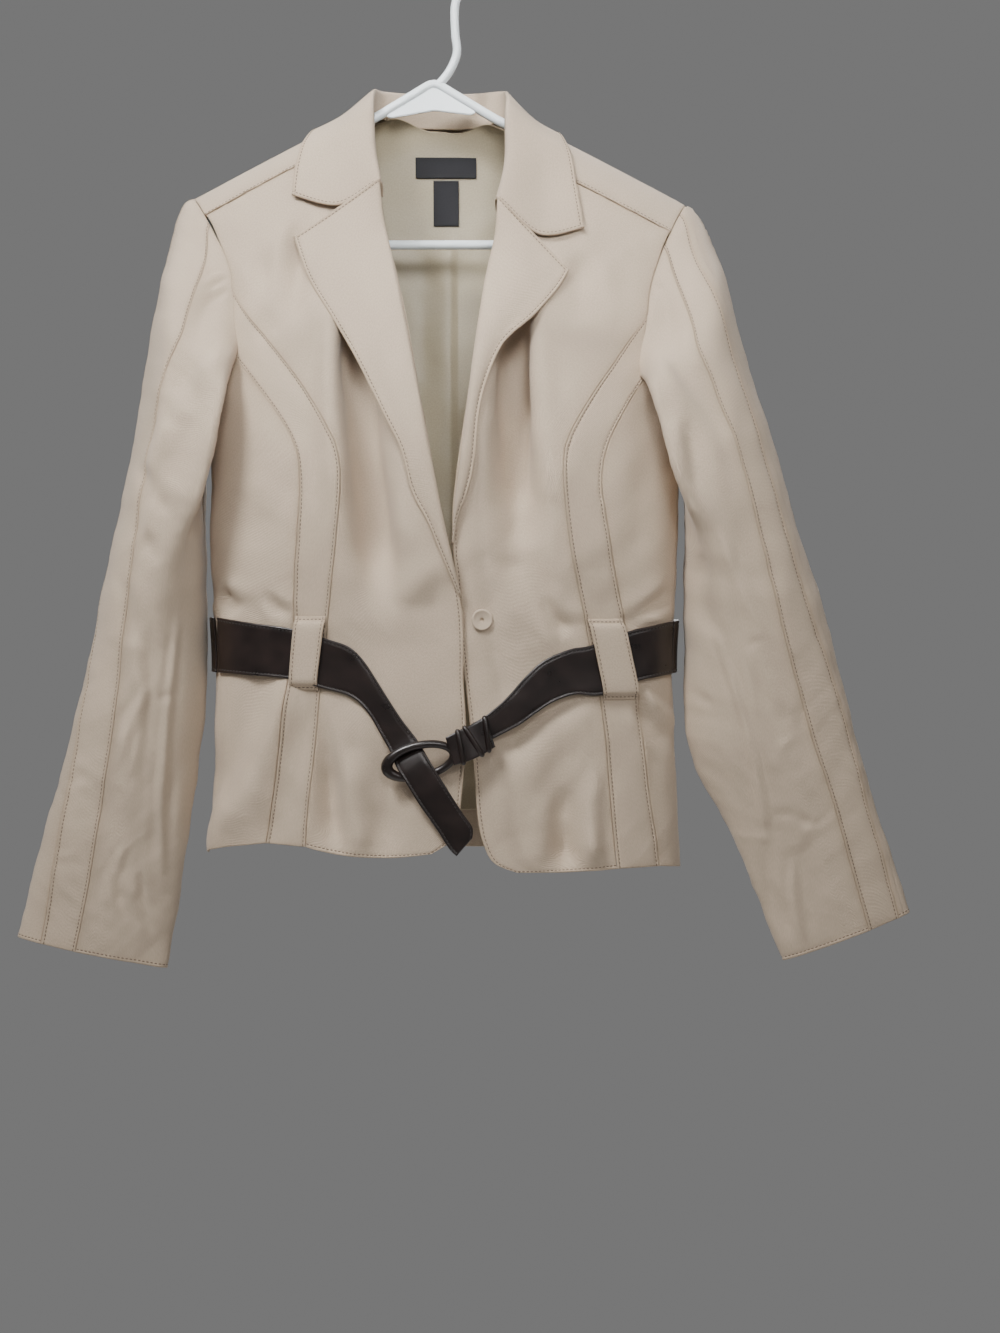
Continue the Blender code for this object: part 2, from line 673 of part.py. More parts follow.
def back_surface(side):
    """Half back from the side seam and armhole, u=0, to the centre back and neck, u=1."""
    lower = back_rows(side)
    yoke = YOKE[side]
    last = len(lower) - 1
    total = last + len(yoke)

    def yoke_ends(index):
        row = yoke[index]
        x, height = armhole_row(row.turn, side)
        over = ridge(x) - height
        if row is yoke[-1]:
            over = SHOULDER_SEAM_DROP[side]
        if row.turn >= 360:
            over = -over
        return x, over, row.neck_x, row.over

    ends = [yoke_ends(index) for index in range(len(yoke))]

    def lower_point(share, position):
        angle_one, height_one, angle_two, height_two = blend(lower, position)
        height = height_one + (height_two - height_one) * share
        return body_point(angle_one + (angle_two - angle_one) * share, height, BACK)

    def yoke_point(share, position):
        x_one, over_one, x_two, over_two = blend(ends, position)
        return over_point(x_one + (x_two - x_one) * share, over_one + (over_two - over_one) * share)

    def place(u, v):
        position = v * total
        share = BACK_INSET + u * (1 - 2 * BACK_INSET)
        if position <= last:
            return lower_point(share, position)
        if position >= last + 1:
            return yoke_point(share, position - last - 1)
        part = position - last
        return lower_point(share, last).lerp(yoke_point(share, 0), part)
    return place, total


def sleeve_surface(side, first_turn, second_turn):
    """Part of a sleeve between two seams; each seam is a function of the position along the rings."""
    rings = SLEEVES[side]

    def armhole_point(turn):
        x, height = armhole_row(turn, side)
        face = FRONT if turn % 360 < UNDERARM_TURN else BACK
        point = body_point(angle_at(x, height), height, face)
        tuck = Vector((0, ARMHOLE_CENTRE[0] - point.y, ARMHOLE_CENTRE[1] - point.z)).normalized()
        stand_off = STAND_OFF * bump(turn, STAND_OFF_TURN, STAND_OFF_SPREAD)
        return point + Vector((side * ARMHOLE_STEP, -stand_off, 0)) + tuck * ARMHOLE_TUCK

    def ring_point(index, turn):
        if index == 0:
            return armhole_point(turn)
        ring = rings[index - 1]
        across = math.cos(math.radians(turn))
        forward = math.sin(math.radians(turn))
        x = 0.5 * (ring.outer_x + ring.inner_x) + 0.5 * (ring.outer_x - ring.inner_x) * across
        x -= side * ring.lean * max(forward, 0.0)
        overhang = ring.overhang * bump(turn, OVERHANG_TURN, OVERHANG_SPREAD)
        x -= side * overhang
        y = 0.5 * (ring.front + ring.back) + 0.5 * (ring.front - ring.back) * forward
        y -= OVERHANG_FORWARD * overhang
        height = 0.5 * (ring.outer + ring.inner) + 0.5 * (ring.outer - ring.inner) * across
        return Vector((x, y, height))

    def place(u, v):
        position = v * len(rings)
        turn_one = first_turn(position) + SLEEVE_INSET
        turn_two = second_turn(position) - SLEEVE_INSET
        turn = turn_one + (turn_two - turn_one) * u
        index = min(int(position), len(rings) - 1)
        around = range(index - 1, index + 3)
        points = [ring_point(min(max(ring, 0), len(rings)), turn) for ring in around]
        point = Vector(blend(points, 1 + position - index))
        early = min(position, 1.0)
        head = CAP_FULLNESS * 6.75 * early * (1 - early) ** 2 * max(math.cos(math.radians(turn)), 0.0)
        return point + Vector((side * 0.77, 0, 0.64)) * head
    return place


def sleeve_seam(side, column):
    """Turn of a sleeve seam along the rings: column 0 is the front seam, column 1 the back one."""
    turns = [CAP_SEAM_TURNS[side][column]]
    turns += [(ring.front_seam, ring.back_seam)[column] for ring in SLEEVES[side]]

    def turn(position):
        return blend([(value,) for value in turns], position)[0]
    return turn


def lapel_surface(side):
    """Lapel from the roll line, u=0, to its outer edge, clear of the front it lies on."""
    rows = LAPELS[side]

    def base(u, v):
        roll_x, roll, edge_x, edge = blend(rows, v * (len(rows) - 1))
        return front_point(roll_x + (edge_x - roll_x) * u, roll + (edge - roll) * u)

    def place(u, v):
        lift = LAPEL_LIFT + LAPEL_BULGE * math.sin(math.pi * min(u * LAPEL_CROWN, 1.0)) * (1 - v * v)
        point = base(u, v) + Vector((0, -lift, 0))
        if side == LEFT:
            point.y += underlap(point.x, point.z)
        return point
    return place


def collar_surface():
    """Collar from the foot of its stand, v=0, over the fold to the outer edge of the fall, v=1."""
    rows = []
    for row in COLLAR:
        middle = over_point(row.middle_x, row.middle_over)
        edge = over_point(row.edge_x, row.edge_over)
        fold = Vector((row.fold_x, row.fold_y, row.fold))
        middle += over_normal(row.middle_x, row.middle_over) * COLLAR_LIFT[0]
        edge += over_normal(row.edge_x, row.edge_over) * COLLAR_LIFT[1]
        rows.append((row.foot_x, row.foot_y, row.foot, *fold, *middle, *edge))

    def place(u, v):
        values = blend(rows, u * (len(rows) - 1))
        points = [values[start:start + 3] for start in (0, 3, 6, 9)]
        return Vector(blend(points, v * (len(points) - 1)))
    return place


def belt_surface(rows):
    """A stretch of the belt, lifted off the smooth front."""
    def base(u, v):
        upper_x, upper, lower_x, lower, _ = blend(rows, v * (len(rows) - 1))
        return front_point(upper_x + (lower_x - upper_x) * u, upper + (lower - upper) * u)

    def lift(_, v):
        return blend(rows, v * (len(rows) - 1))[4] + BELT_WALL

    def place(u, v):
        return base(u, v) + front_normal(base(u, v)) * lift(u, v)
    return place


def front_normal(point):
    """Outward normal of the smooth front at one of its points."""
    angle = angle_at(point.x, point.z)
    along = body_point(angle + STEP, point.z, FRONT) - body_point(angle - STEP, point.z, FRONT)
    down = body_point(angle, point.z - 1, FRONT) - body_point(angle, point.z + 1, FRONT)
    return down.cross(along).normalized()


def belt_back_surface():
    """The belt round the back, from one side front to the other."""
    def place_on_body(u, v):
        turn, upper, lower = blend(BELT_BACK, v * (len(BELT_BACK) - 1))
        turn = math.radians(turn)
        height = upper + (lower - upper) * u
        face = FRONT if math.cos(turn) > 0 else BACK
        return body_point(math.asin(math.sin(turn)), height, face)
    return lifted(place_on_body, BELT_BACK_LIFT + BELT_WALL, 1)


def loop_surface(side):
    """Belt loop: a piece of the strip's width that bridges the belt."""
    rows = LOOPS[side]
    sections = FRONT_SECTIONS[side]
    inner = [SeamPoint(row.inner, row.inner_x) for row in sections]
    outer = [SeamPoint(row.outer, row.outer_x) for row in sections]

    def place(u, v):
        height, lift = blend(rows, v * (len(rows) - 1))
        share = LOOP_INSET + u * (1 - 2 * LOOP_INSET)
        x_one = row_at(inner, height).x
        x_two = row_at(outer, height).x
        point = front_point(x_one + (x_two - x_one) * share, height)
        return point + front_normal(point) * (lift + LOOP_WALL)
    return place


def lining_surface(left_x, right_x, top, bottom, depth):
    """A sheet inside the back, at a depth under the outer surface."""
    def on_back(u, v):
        x = left_x + (right_x - left_x) * u
        start = ridge(x) - LINING_TOP_DROP if top is None else top
        height = start + (bottom - start) * v
        return body_point(angle_at(x, height), height, BACK)
    return lifted(on_back, -depth, 1)


def tube_mesh(name, points, radius, closed):
    """A tube along points, as a mesh with welded caps."""
    curve = bpy.data.curves.new(name, "CURVE")
    curve.dimensions = "3D"
    curve.bevel_depth = radius * MM
    curve.bevel_resolution = TUBE_RESOLUTION
    curve.use_fill_caps = not closed
    spline = curve.splines.new("POLY")
    spline.points.add(len(points) - 1)
    spline.use_cyclic_u = closed
    for target, point in zip(spline.points, points):
        target.co = (*to_world(point), 1.0)
    return mesh_from_curve(name, curve)


def mesh_from_curve(name, curve):
    """The evaluated mesh of a curve, with its caps welded on."""
    item = bpy.data.objects.new(name, curve)
    bpy.context.scene.collection.objects.link(item)
    evaluated = item.evaluated_get(bpy.context.evaluated_depsgraph_get())
    mesh = bpy.data.meshes.new_from_object(evaluated)
    mesh.name = name
    solid = bmesh.new()
    solid.from_mesh(mesh)
    bmesh.ops.remove_doubles(solid, verts=solid.verts, dist=WELD)
    bmesh.ops.recalc_face_normals(solid, faces=solid.faces)
    solid.to_mesh(mesh)
    solid.free()
    bpy.data.objects.remove(item)
    bpy.data.curves.remove(curve)
    return mesh


def arc(centre, radius, start, end, steps):
    """Points on an arc in the hanger's plane."""
    points = []
    for step in range(steps + 1):
        angle = start + (end - start) * step / steps
        points.append((centre[0] + radius * math.cos(angle), 0.0, centre[1] + radius * math.sin(angle)))
    return points


def hanger_loop():
    """Centre line of the hanger's frame: two arms under the shoulders and the lower bar."""
    slope = math.atan(RIDGE_SLOPE)
    drop = (TUBE + SHELL + ARM_CLEARANCE) / math.cos(slope)
    start_height = ridge(RIDGE_X + ARM_START) - drop
    end_height = ridge(RIDGE_X + ARM_END) - drop
    middle = (0.5 * (ARM_START + ARM_END), 0.5 * (start_height + end_height))
    half = [(ARM_START, start_height), middle, (ARM_END, end_height)]
    end_centre = (ARM_END - END_SET_BACK, BAR_HEIGHT + END_RADIUS)
    for x, _, height in arc(end_centre, END_RADIUS, math.radians(45), math.radians(-90), END_STEPS):
        half.append((x, height))
    right_half = [(RIDGE_X + x, 0.0, height) for x, height in half]
    left_half = [(RIDGE_X - x, 0.0, height) for x, height in reversed(half)]
    return [(HANGER_APEX[0], 0.0, HANGER_APEX[1])] + right_half + left_half


def web_mesh(name):
    """The flat web under the apex."""
    curve = bpy.data.curves.new(name, "CURVE")
    curve.dimensions = "2D"
    curve.fill_mode = "BOTH"
    curve.extrude = WEB_HALF_WALL * MM
    spline = curve.splines.new("POLY")
    spline.points.add(len(WEB) - 1)
    spline.use_cyclic_u = True
    for target, (x, height) in zip(spline.points, WEB):
        target.co = (x * MM, (height - HOOK_RISE) * MM, 0.0, 1.0)
    mesh = mesh_from_curve(name, curve)
    for vert in mesh.vertices:
        vert.co = Vector((vert.co.x, -vert.co.z, vert.co.y))
    return mesh


def add_hanger(parts, cutters):
    """Frame, web and hook, joined into one moulding."""
    hook_centre = (0.0, HOOK_RISE + HOOK_TUBE - HOOK_RADIUS)
    hook = [(x, 0.0, height) for x, height in STEM]
    hook += arc(hook_centre, HOOK_RADIUS, HOOK_START_ANGLE, HOOK_TIP_ANGLE, HOOK_STEPS)
    frame = add_object("hanger", tube_mesh("hanger", hanger_loop(), TUBE, True), PLASTIC, parts)
    joined = [web_mesh("hanger_web"), tube_mesh("hanger_hook", hook, HOOK_TUBE, False)]
    for mesh in joined:
        extra = bpy.data.objects.new(mesh.name, mesh)
        cutters.objects.link(extra)
        extra.hide_render = True
        extra.display_type = "WIRE"
        union = frame.modifiers.new(mesh.name, "BOOLEAN")
        union.operation = "UNION"
        union.object = extra
    frame.data.shade_smooth()


def add_buckle(parts):
    """Oval ring: its upper rim stands before the strap and its lower rim behind the tail."""
    points = []
    for step in range(BUCKLE_POINTS):
        angle = 2 * math.pi * step / BUCKLE_POINTS
        long_part = BUCKLE_HALF_LENGTH * math.cos(angle)
        short_part = BUCKLE_HALF_WIDTH * math.sin(angle)
        x = long_part * math.cos(BUCKLE_SLANT) - short_part * math.sin(BUCKLE_SLANT)
        height = long_part * math.sin(BUCKLE_SLANT) + short_part * math.cos(BUCKLE_SLANT)
        y = -BUCKLE_TIP_BACK * math.sin(angle)
        points.append((BUCKLE_CENTRE[0] + x, BUCKLE_CENTRE[1] + y, BUCKLE_CENTRE[2] + height))
    ring = tube_mesh("buckle", points, BUCKLE_TUBE, True)
    ring.shade_smooth()
    add_object("buckle", ring, LEATHER, parts)


def add_button(parts):
    """A flat disc with a rounded rim, sewn on the wearer's left front."""
    mesh = bpy.data.meshes.new("button")
    disc = bmesh.new()
    bmesh.ops.create_cone(disc, cap_ends=True, segments=BUTTON_SIDES, radius1=BUTTON_RADIUS * MM,
                          radius2=BUTTON_RADIUS * MM, depth=BUTTON_WALL * MM)
    disc.to_mesh(mesh)
    disc.free()
    button = add_object("button", mesh, CLOTH, parts)
    rounding = button.modifiers.new("rim", "BEVEL")
    rounding.width = BUTTON_ROUND * MM
    rounding.segments = 2
    rounding.limit_method = "ANGLE"
    point = front_point(BUTTON_X, BUTTON_HEIGHT)
    outward = front_normal(point)
    point.y += underlap(BUTTON_X, BUTTON_HEIGHT)
    point += outward * (0.5 * BUTTON_WALL + BUTTON_LIFT)
    button.location = to_world(point)
    button.rotation_euler = outward.to_track_quat("Z", "Y").to_euler()


def add_body_side(side, parts):
    """Front, strip, side front, back, sleeve, lapel and belt loop of one side."""
    rows = len(FRONT_SECTIONS[side]) - 1
    front_rows = rows + len(SHOULDER_TURNS)
    add_sheet("front", front_surface(side), SHELL, -side, CLOTH, parts, side, front_rows)
    add_sheet("strip", strip_surface(side), SHELL, -side, CLOTH, parts, side, rows)
    add_sheet("side", side_surface(side), SHELL, -side, CLOTH, parts, side, rows)
    place, back_count = back_surface(side)
    add_sheet("back", place, SHELL, side, CLOTH, parts, side, back_count)
    add_sleeve(side, parts)
    add_sheet("lapel", lapel_surface(side), LAPEL_WALL, -side, CLOTH, parts, side)
    add_sheet("loop", loop_surface(side), LOOP_WALL, -side, CLOTH, parts, side)


def add_sleeve(side, parts):
    """The four pieces of a sleeve, between the two strip seams, the elbow and the underarm."""
    front_seam = sleeve_seam(side, 0)
    back_seam = sleeve_seam(side, 1)

    def underarm(_):
        return UNDERARM_TURN

    def elbow(_):
        return ELBOW_TURN

    def back_seam_round(position):
        return 360 + back_seam(position)

    pieces = [
        ("sleeve_front", front_seam, underarm),
        ("sleeve_strip", back_seam, front_seam),
        ("sleeve_under", underarm, elbow),
        ("sleeve_back", elbow, back_seam_round),
    ]
    for kind, first, second in pieces:
        add_sheet(kind, sleeve_surface(side, first, second), SHELL, side, CLOTH, parts, side)


def add_trim(parts):
    """Collar, lining, labels, belt, buckle and button."""
    add_sheet("collar", collar_surface(), COLLAR_WALL, 1, CLOTH, parts)
    lining_depth = SHELL + LINING_EASE
    label_depth = lining_depth + LINING_WALL + LABEL_LIFT
    lining = lining_surface(-LINING_HALF_WIDTH, LINING_HALF_WIDTH, None, LINING_BOTTOM, lining_depth)
    add_sheet("lining_back", lining, LINING_WALL, 1, SATIN, parts)
    for kind, label in (("label_neck", LABEL_NECK), ("label_size", LABEL_SIZE)):
        add_sheet(kind, lining_surface(*label, label_depth), LABEL_WALL, 1, BLACK, parts)
    add_sheet("belt_right", belt_surface(BELT_RIGHT), BELT_WALL, 1, LEATHER, parts)
    add_sheet("belt_left", belt_surface(BELT_LEFT), BELT_WALL, -1, LEATHER, parts)
    add_sheet("belt_back", belt_back_surface(), BELT_WALL, 1, LEATHER, parts)
    add_sheet("belt_wrap", belt_surface(BELT_WRAP), WRAP_WALL, -1, LEATHER, parts)
    add_buckle(parts)
    add_button(parts)


def main():
    for item in list(bpy.data.objects):
        bpy.data.objects.remove(item)
    parts = bpy.data.collections.new("belted_blazer")
    cutters = bpy.data.collections.new("joined_forms")
    bpy.context.scene.collection.children.link(parts)
    bpy.context.scene.collection.children.link(cutters)
    for side in (RIGHT, LEFT):
        add_body_side(side, parts)
    add_trim(parts)
    add_hanger(parts, cutters)


main()
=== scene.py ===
"""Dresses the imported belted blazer: creased and stitched cloth, lining, leather belt and hanger.

Tables are in millimetres. X runs to the viewer's right, Y away from the viewer and Z up. The tables' heights
are counted from HOOK_RISE below the origin. Right and left are the wearer's: the right side lies at -X.
"""

import math
from collections import namedtuple

import bmesh
import bpy
import numpy as np
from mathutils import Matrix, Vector


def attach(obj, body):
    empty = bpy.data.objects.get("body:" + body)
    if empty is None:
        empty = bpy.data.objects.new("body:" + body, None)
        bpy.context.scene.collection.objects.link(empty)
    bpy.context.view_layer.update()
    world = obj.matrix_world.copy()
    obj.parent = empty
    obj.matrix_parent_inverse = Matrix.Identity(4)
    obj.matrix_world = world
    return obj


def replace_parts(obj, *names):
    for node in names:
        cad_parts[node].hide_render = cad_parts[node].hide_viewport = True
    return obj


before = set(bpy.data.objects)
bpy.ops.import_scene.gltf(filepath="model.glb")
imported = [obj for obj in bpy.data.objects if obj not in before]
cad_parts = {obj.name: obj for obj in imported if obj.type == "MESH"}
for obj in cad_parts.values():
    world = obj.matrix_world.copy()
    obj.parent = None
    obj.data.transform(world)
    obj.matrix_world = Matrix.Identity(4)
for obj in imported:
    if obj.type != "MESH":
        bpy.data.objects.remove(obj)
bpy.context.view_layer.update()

MM = 0.001
HOOK_RISE = 36.0
RIGHT = -1
LEFT = 1
FRONT = -1
BACK = 1
SIDE_NAMES = {RIGHT: "right", LEFT: "left"}


def rows_of(kind, rows):
    """Rows of a table with their columns named."""
    return [kind(*row) for row in rows]


# Wall thicknesses and clearances
SEAM_GAP = 0.3
SHELL = 1.6
COLLAR_WALL = 2.2
LAPEL_WALL = 2.2
LINING_WALL = 1.0
LINING_EASE = 1.2
LABEL_WALL = 0.6
LABEL_LIFT = 1.2
BELT_WALL = 3.0
WRAP_WALL = 2.0
# How far a sleeve's start lies out from the armhole, how far it is tucked in towards the armhole's middle,
# and the depth and height of that middle
ARMHOLE_STEP = -4.0
ARMHOLE_TUCK = 2.5
ARMHOLE_CENTRE = (-8.0, -310.0)
# Step for a surface's normal, least length of a vector, and weld distance in metres
STEP = 0.002
TINY = 1e-9
WELD = 0.00001
# Tubes: how finely they are rounded, and the angle at which an edge stays sharp
TUBE_RESOLUTION = 5
SHARP_ANGLE = math.radians(50)

# Body: one row for each level, with its half width, the depth of its side seam and its front and back bulge
Level = namedtuple("Level", "height half_width middle front back")
BODY = rows_of(Level, [
    (-80, 262, 0, 40, 34),
    (-140, 258, 0, 44, 36),
    (-200, 248, 0, 52, 44),
    (-260, 228, -3, 72, 50),
    (-320, 211, -8, 88, 55),
    (-380, 204, -14, 94, 61),
    (-440, 202, -18, 94, 65),
    (-500, 202, -20, 86, 66),
    (-560, 199, -20, 74, 63),
    (-600, 197, -20, 68, 61),
    (-640, 198, -20, 66, 61),
    (-700, 200, -20, 64, 63),
    (-790, 206, -20, 62, 65),
])
FRONT_FULLNESS = 0.8
BACK_FULLNESS = 0.6

# Shoulder ridge over the hanger's arms
RIDGE_X = -10.0
RIDGE_TOP = -100.0
RIDGE_SLOPE = 0.525
RIDGE_ROUND = 30.0
SHOULDER_RADIUS = 45.0
SHOULDER_SEAM_DROP = {RIGHT: 29.7, LEFT: 42.0}

# Hanging folds of the fronts: a trough from its top to its bottom
Fold = namedtuple("Fold", "top_x top bottom_x bottom depth width")
FOLDS = rows_of(Fold, [
    (-60, -290, -50, -585, 32, 19),
    (57, -280, 66, -575, 32, 20),
    (-24, -640, -60, -800, 5, 16),
    (92, -640, 96, -800, 5, 16),
    (-172, -640, -186, -800, 5, 14),
])
# Length over which folds, the hem's bow, the underlap and the body's creases set in, and the share of a
# fold that runs out
SET_IN = 60.0
FOLD_RUN_OUT = 0.5

# Armhole: a row for each turn in degrees from the shoulder tip, round by the front
Armhole = namedtuple("Armhole", "turn right_x right_height left_x left_height")
ARMHOLE = rows_of(Armhole, [
    (0, -220, -195.7, 210.5, -201.3),
    (20, -206, -218.2, 194, -234.4),
    (45, -184, -262, 178, -275),
    (70, -178.5, -289, 171.5, -312),
    (110, -177, -343, 169, -364),
    (180, -203.5, -405, 203.5, -412),
    (215, -194, -376, 192, -383),
    (255, -180, -310, 176, -318),
    (300, -188, -255, 184, -262),
    (335, -206, -216, 199, -223),
    (360, -220, -195.7, 210.5, -201.3),
])
SHOULDER_TURNS = [20, 37, 54]

# Front panels: a row for each section, from the strip's top down to the hem
Section = namedtuple("Section", "inner_x inner outer_x outer edge_x edge side")
FRONT_SECTIONS = {
    RIGHT: rows_of(Section, [
        (-178.5, -289, -177, -343, -42, -262, -405),
        (-162.5, -313.5, -155, -371, -35, -290, -415),
        (-141, -340, -136.5, -396, -28, -322, -428),
        (-123, -363, -125, -415, -22, -356, -440),
        (-107.5, -386, -118.5, -431, -17, -385, -450),
        (-94, -409, -117, -447, -12, -410, -460),
        (-86.5, -428, -117, -462, -8, -432, -470),
        (-84, -458, -118, -480, -3, -460, -485),
        (-86.5, -500, -120.5, -507, 5, -500, -508),
        (-91, -537, -123, -537, 12, -530, -537),
        (-95, -569, -124, -568, 17, -562, -568),
        (-98.5, -596, -126.5, -596, 18, -590, -595),
        (-102, -624, -129, -624, 18, -618, -622),
        (-106.5, -672, -136, -676, 20, -662, -672),
        (-111, -715, -143, -717, 16, -718, -720),
        (-113, -735, -146.5, -734, 12.5, -740, -740),
        (-113.7, -746, -148.5, -744.5, 5, -753, -753),
        (-114.5, -757, -150.5, -755, -9, -762, -767),
    ]),
    LEFT: rows_of(Section, [
        (171.5, -312, 169, -364, 37, -275, -412),
        (159, -330, 160, -378, 33, -300, -418),
        (147, -348, 151, -393, 29, -325, -426),
        (126, -379, 140.5, -414, 24, -362, -440),
        (109, -408, 134.5, -433, 19, -400, -452),
        (101.5, -428, 132.5, -447, 15.5, -425, -462),
        (100.5, -451, 132.5, -461, 12, -450, -472),
        (103, -481, 136, -483, 9, -478, -486),
        (108, -516, 141.5, -515.5, 9, -512, -512),
        (112, -534, 145, -533, 11, -530, -530),
        (119, -567, 152, -566, 13, -565, -565),
        (125, -598, 158.5, -597, 16, -597, -596),
        (131.5, -630, 165, -629, 20, -630, -628),
        (137.5, -672, 169, -673, 25, -675, -672),
        (142, -725, 176, -725, 29, -730, -725),
        (144, -748, 180, -747.5, 34, -754, -750),
        (145.3, -763, 182, -762.5, 43, -770, -765),
        (146.5, -776, 184, -775.5, 62, -778, -779),
    ]),
}
# Neck edge of each front, from the shoulder seam down to the roll line
NeckEdge = namedtuple("NeckEdge", "right_x right left_x left")
NECK_EDGE = rows_of(NeckEdge, [
    (-72, -150, 64, -166),
    (-69, -178, 60, -196),
    (-60, -210, 54, -226),
])
HEM_BOW = {RIGHT: 6.0, LEFT: 1.0}
HEM_BOW_TOP = -690.0
# The wearer's left front lies under the right one
UNDERLAP_DEPTH = 5.0
UNDERLAP_REACH = 80.0
UNDERLAP_TOP = -430.0

# Back: a row for each turn of the armhole, with the centre back or neck edge it meets.
# "over" counts from the shoulder ridge, down the back if positive and down the front if negative.
Yoke = namedtuple("Yoke", "turn neck_x over")
YOKE = {
    RIGHT: rows_of(Yoke, [
        (305, -4, 40), (325, -30, 25), (343, -58, 14), (352, -64, 5),
        (360, -68, 0), (366, -70, -6), (372, -71, -15), (380, -72, -29.7),
    ]),
    LEFT: rows_of(Yoke, [
        (305, -4, 40), (325, 22, 25), (343, 48, 14), (352, 55, 5),
        (360, 59, 0), (366, 61, -7), (372, 62, -19), (380, 64, -42),
    ]),
}
BackRow = namedtuple("BackRow", "turn centre")
BACK_RISE = rows_of(BackRow, [(180, -405), (197, -380), (215, -345), (235, -305), (255, -260), (285, -190)])
CENTRE_BACK_X = -4.0
# About half a seam gap, as a share of the back's width
BACK_INSET = 0.001

# Sleeves: rings from the cap to the cuff. Each has its outer and inner edge, its front and back depth,
# a lean of its front towards the body, how far its front hangs over the body beside the underarm, and the
# turns of the two seams beside the centre strip.
Ring = namedtuple("Ring", "outer_x outer inner_x inner front back lean overhang front_seam back_seam")
SLEEVES = {
    RIGHT: rows_of(Ring, [
        (-243, -258, -207, -426, -84, 46, 14, 29, 76, 5),
        (-257, -335, -208, -448, -94, 50, 14, 27, 66, 0),
        (-270, -420, -208.5, -482, -95, 46, 12, 21, 58, 0),
        (-285, -496, -207, -524, -90, 38, 6, 6, 68, 8),
        (-300, -571, -206, -588, -80, 26, 2, 0, 71, 18),
        (-313, -631, -207, -646, -72, 15, 0, 0, 75, 30),
        (-328, -690, -214, -708, -64, 5, 0, 0, 77, 38),
        (-343, -745, -224, -770, -56, -5, 0, 0, 79, 42),
        (-357, -794, -231, -822, -48, -11, 0, 0, 80, 47),
        (-369, -839, -239, -866, -42, -15, 0, 0, 80, 50),
    ]),
    LEFT: rows_of(Ring, [
        (241, -260, 207, -432, -84, 46, 14, 34, 80, 46),
        (261, -335, 208, -452, -94, 50, 14, 31, 75, 41),
        (281, -402, 208.5, -484, -95, 46, 12, 24, 70, 39),
        (303, -480, 207, -526, -90, 38, 6, 6, 72, 42),
        (324, -546, 206.5, -586, -80, 26, 2, 0, 73, 42),
        (338, -601, 207, -640, -72, 15, 0, 0, 69, 33),
        (352, -659, 214, -688, -64, 5, 0, 0, 65, 26),
        (369, -718, 238, -732, -56, -5, 0, 0, 65, 28),
        (387, -770, 263, -786, -48, -11, 0, 0, 69, 33),
        (401, -818, 291, -860, -42, -15, 0, 0, 71, 36),
    ]),
}
OVERHANG_TURN = 110.0
OVERHANG_SPREAD = 20.0
OVERHANG_FORWARD = 0.7
# Below its overhang the sleeve's edge stands off the side front
STAND_OFF = 2.6
STAND_OFF_TURN = 128.0
STAND_OFF_SPREAD = 24.0
CAP_SEAM_TURNS = {RIGHT: (25, 0), LEFT: (28, 8)}
# Fullness of the sleeve's head just past the armhole, the factor that brings its curve's peak to one, and
# its direction
CAP_FULLNESS = 6.0
CAP_PEAK = 6.75
CAP_OUT = 0.77
CAP_UP = 0.64
UNDERARM_TURN = 180
ELBOW_TURN = 265
STRIP_OUTER_TURN = 110
# Room beside a sleeve's seam, in degrees of its turn
SLEEVE_INSET = 0.05

# Lapels: roll line and outer edge, from the gorge down to where the front edge begins
LapelRow = namedtuple("LapelRow", "roll_x roll edge_x edge")
LAPELS = {
    RIGHT: rows_of(LapelRow, [
        (-53.5, -194, -126, -243.5),
        (-48.5, -230, -112, -282),
        (-40, -268, -87, -324),
        (-29.5, -318, -68, -358),
        (-20.5, -364, -48, -399),
        (-12, -408, -33, -430),
        (-4, -450, -24, -464.5),
        (4, -490, -12, -487),
        (11, -522, 1, -518),
        (17, -549, 13, -546),
    ]),
    LEFT: rows_of(LapelRow, [
        (46, -210, 106, -274.5),
        (42.5, -243, 96, -292),
        (36, -276, 76, -316),
        (31, -306, 57, -333.5),
        (27, -332, 47, -347.5),
        (22.5, -368, 36.5, -376),
        (18.5, -402, 31, -402),
        (14, -440, 27.5, -440),
        (10.5, -466, 22, -463),
        (8.5, -488, 14, -484),
        (7, -506, 10, -505),
    ]),
}
# Lift of the lapel off the front, its bulge, and how soon across the lapel the bulge is over
LAPEL_LIFT = 3.2
LAPEL_BULGE = 3.5
LAPEL_CROWN = 1.2

# Collar: a row for each section along its fold, with the foot of the stand, the fold, and the middle and
# outer edge of the fall. The fall's points lie on the body, given by x and by "over" as for the back.
CollarRow = namedtuple("CollarRow", "foot_x foot_y foot fold_x fold_y fold "
                       "middle_x middle_over edge_x edge_over")
COLLAR = rows_of(CollarRow, [
    (-51, -52, -207, -54.5, -64, -198, -88.5, -90, -128.5, -58.0),
    (-59, -36, -179, -60, -54, -165, -94, -50, -126, -34),
    (-63, -22, -140, -62.5, -36, -126, -92, -18, -120, -13),
    (-64.5, -2, -117, -63, -4, -100, -87, 0, -110, 0),
    (-58, 17, -118, -57, 19, -94, -78, 14, -96, 22),
    (-34, 26.5, -123, -34, 33, -91, -44, 27, -56, 50),
    (-4, 29, -124, -4, 37, -90, -4, 29, -4, 58),
    (26, 26.5, -124, 26, 33, -91, 36, 27, 48, 50),
    (49, 17, -120, 49, 19, -94, 69, 14, 87, 22),
    (55.5, -2, -121, 54.5, -4, -103, 76, 0, 96, 0),
    (54, -22, -146, 54, -38, -131, 81, -18, 106, -18),
    (53, -38, -193, 54, -58, -175, 85, -60, 113.5, -51),
    (44, -50, -218, 47.2, -70, -214.5, 80.5, -111.5, 118.5, -84),
])
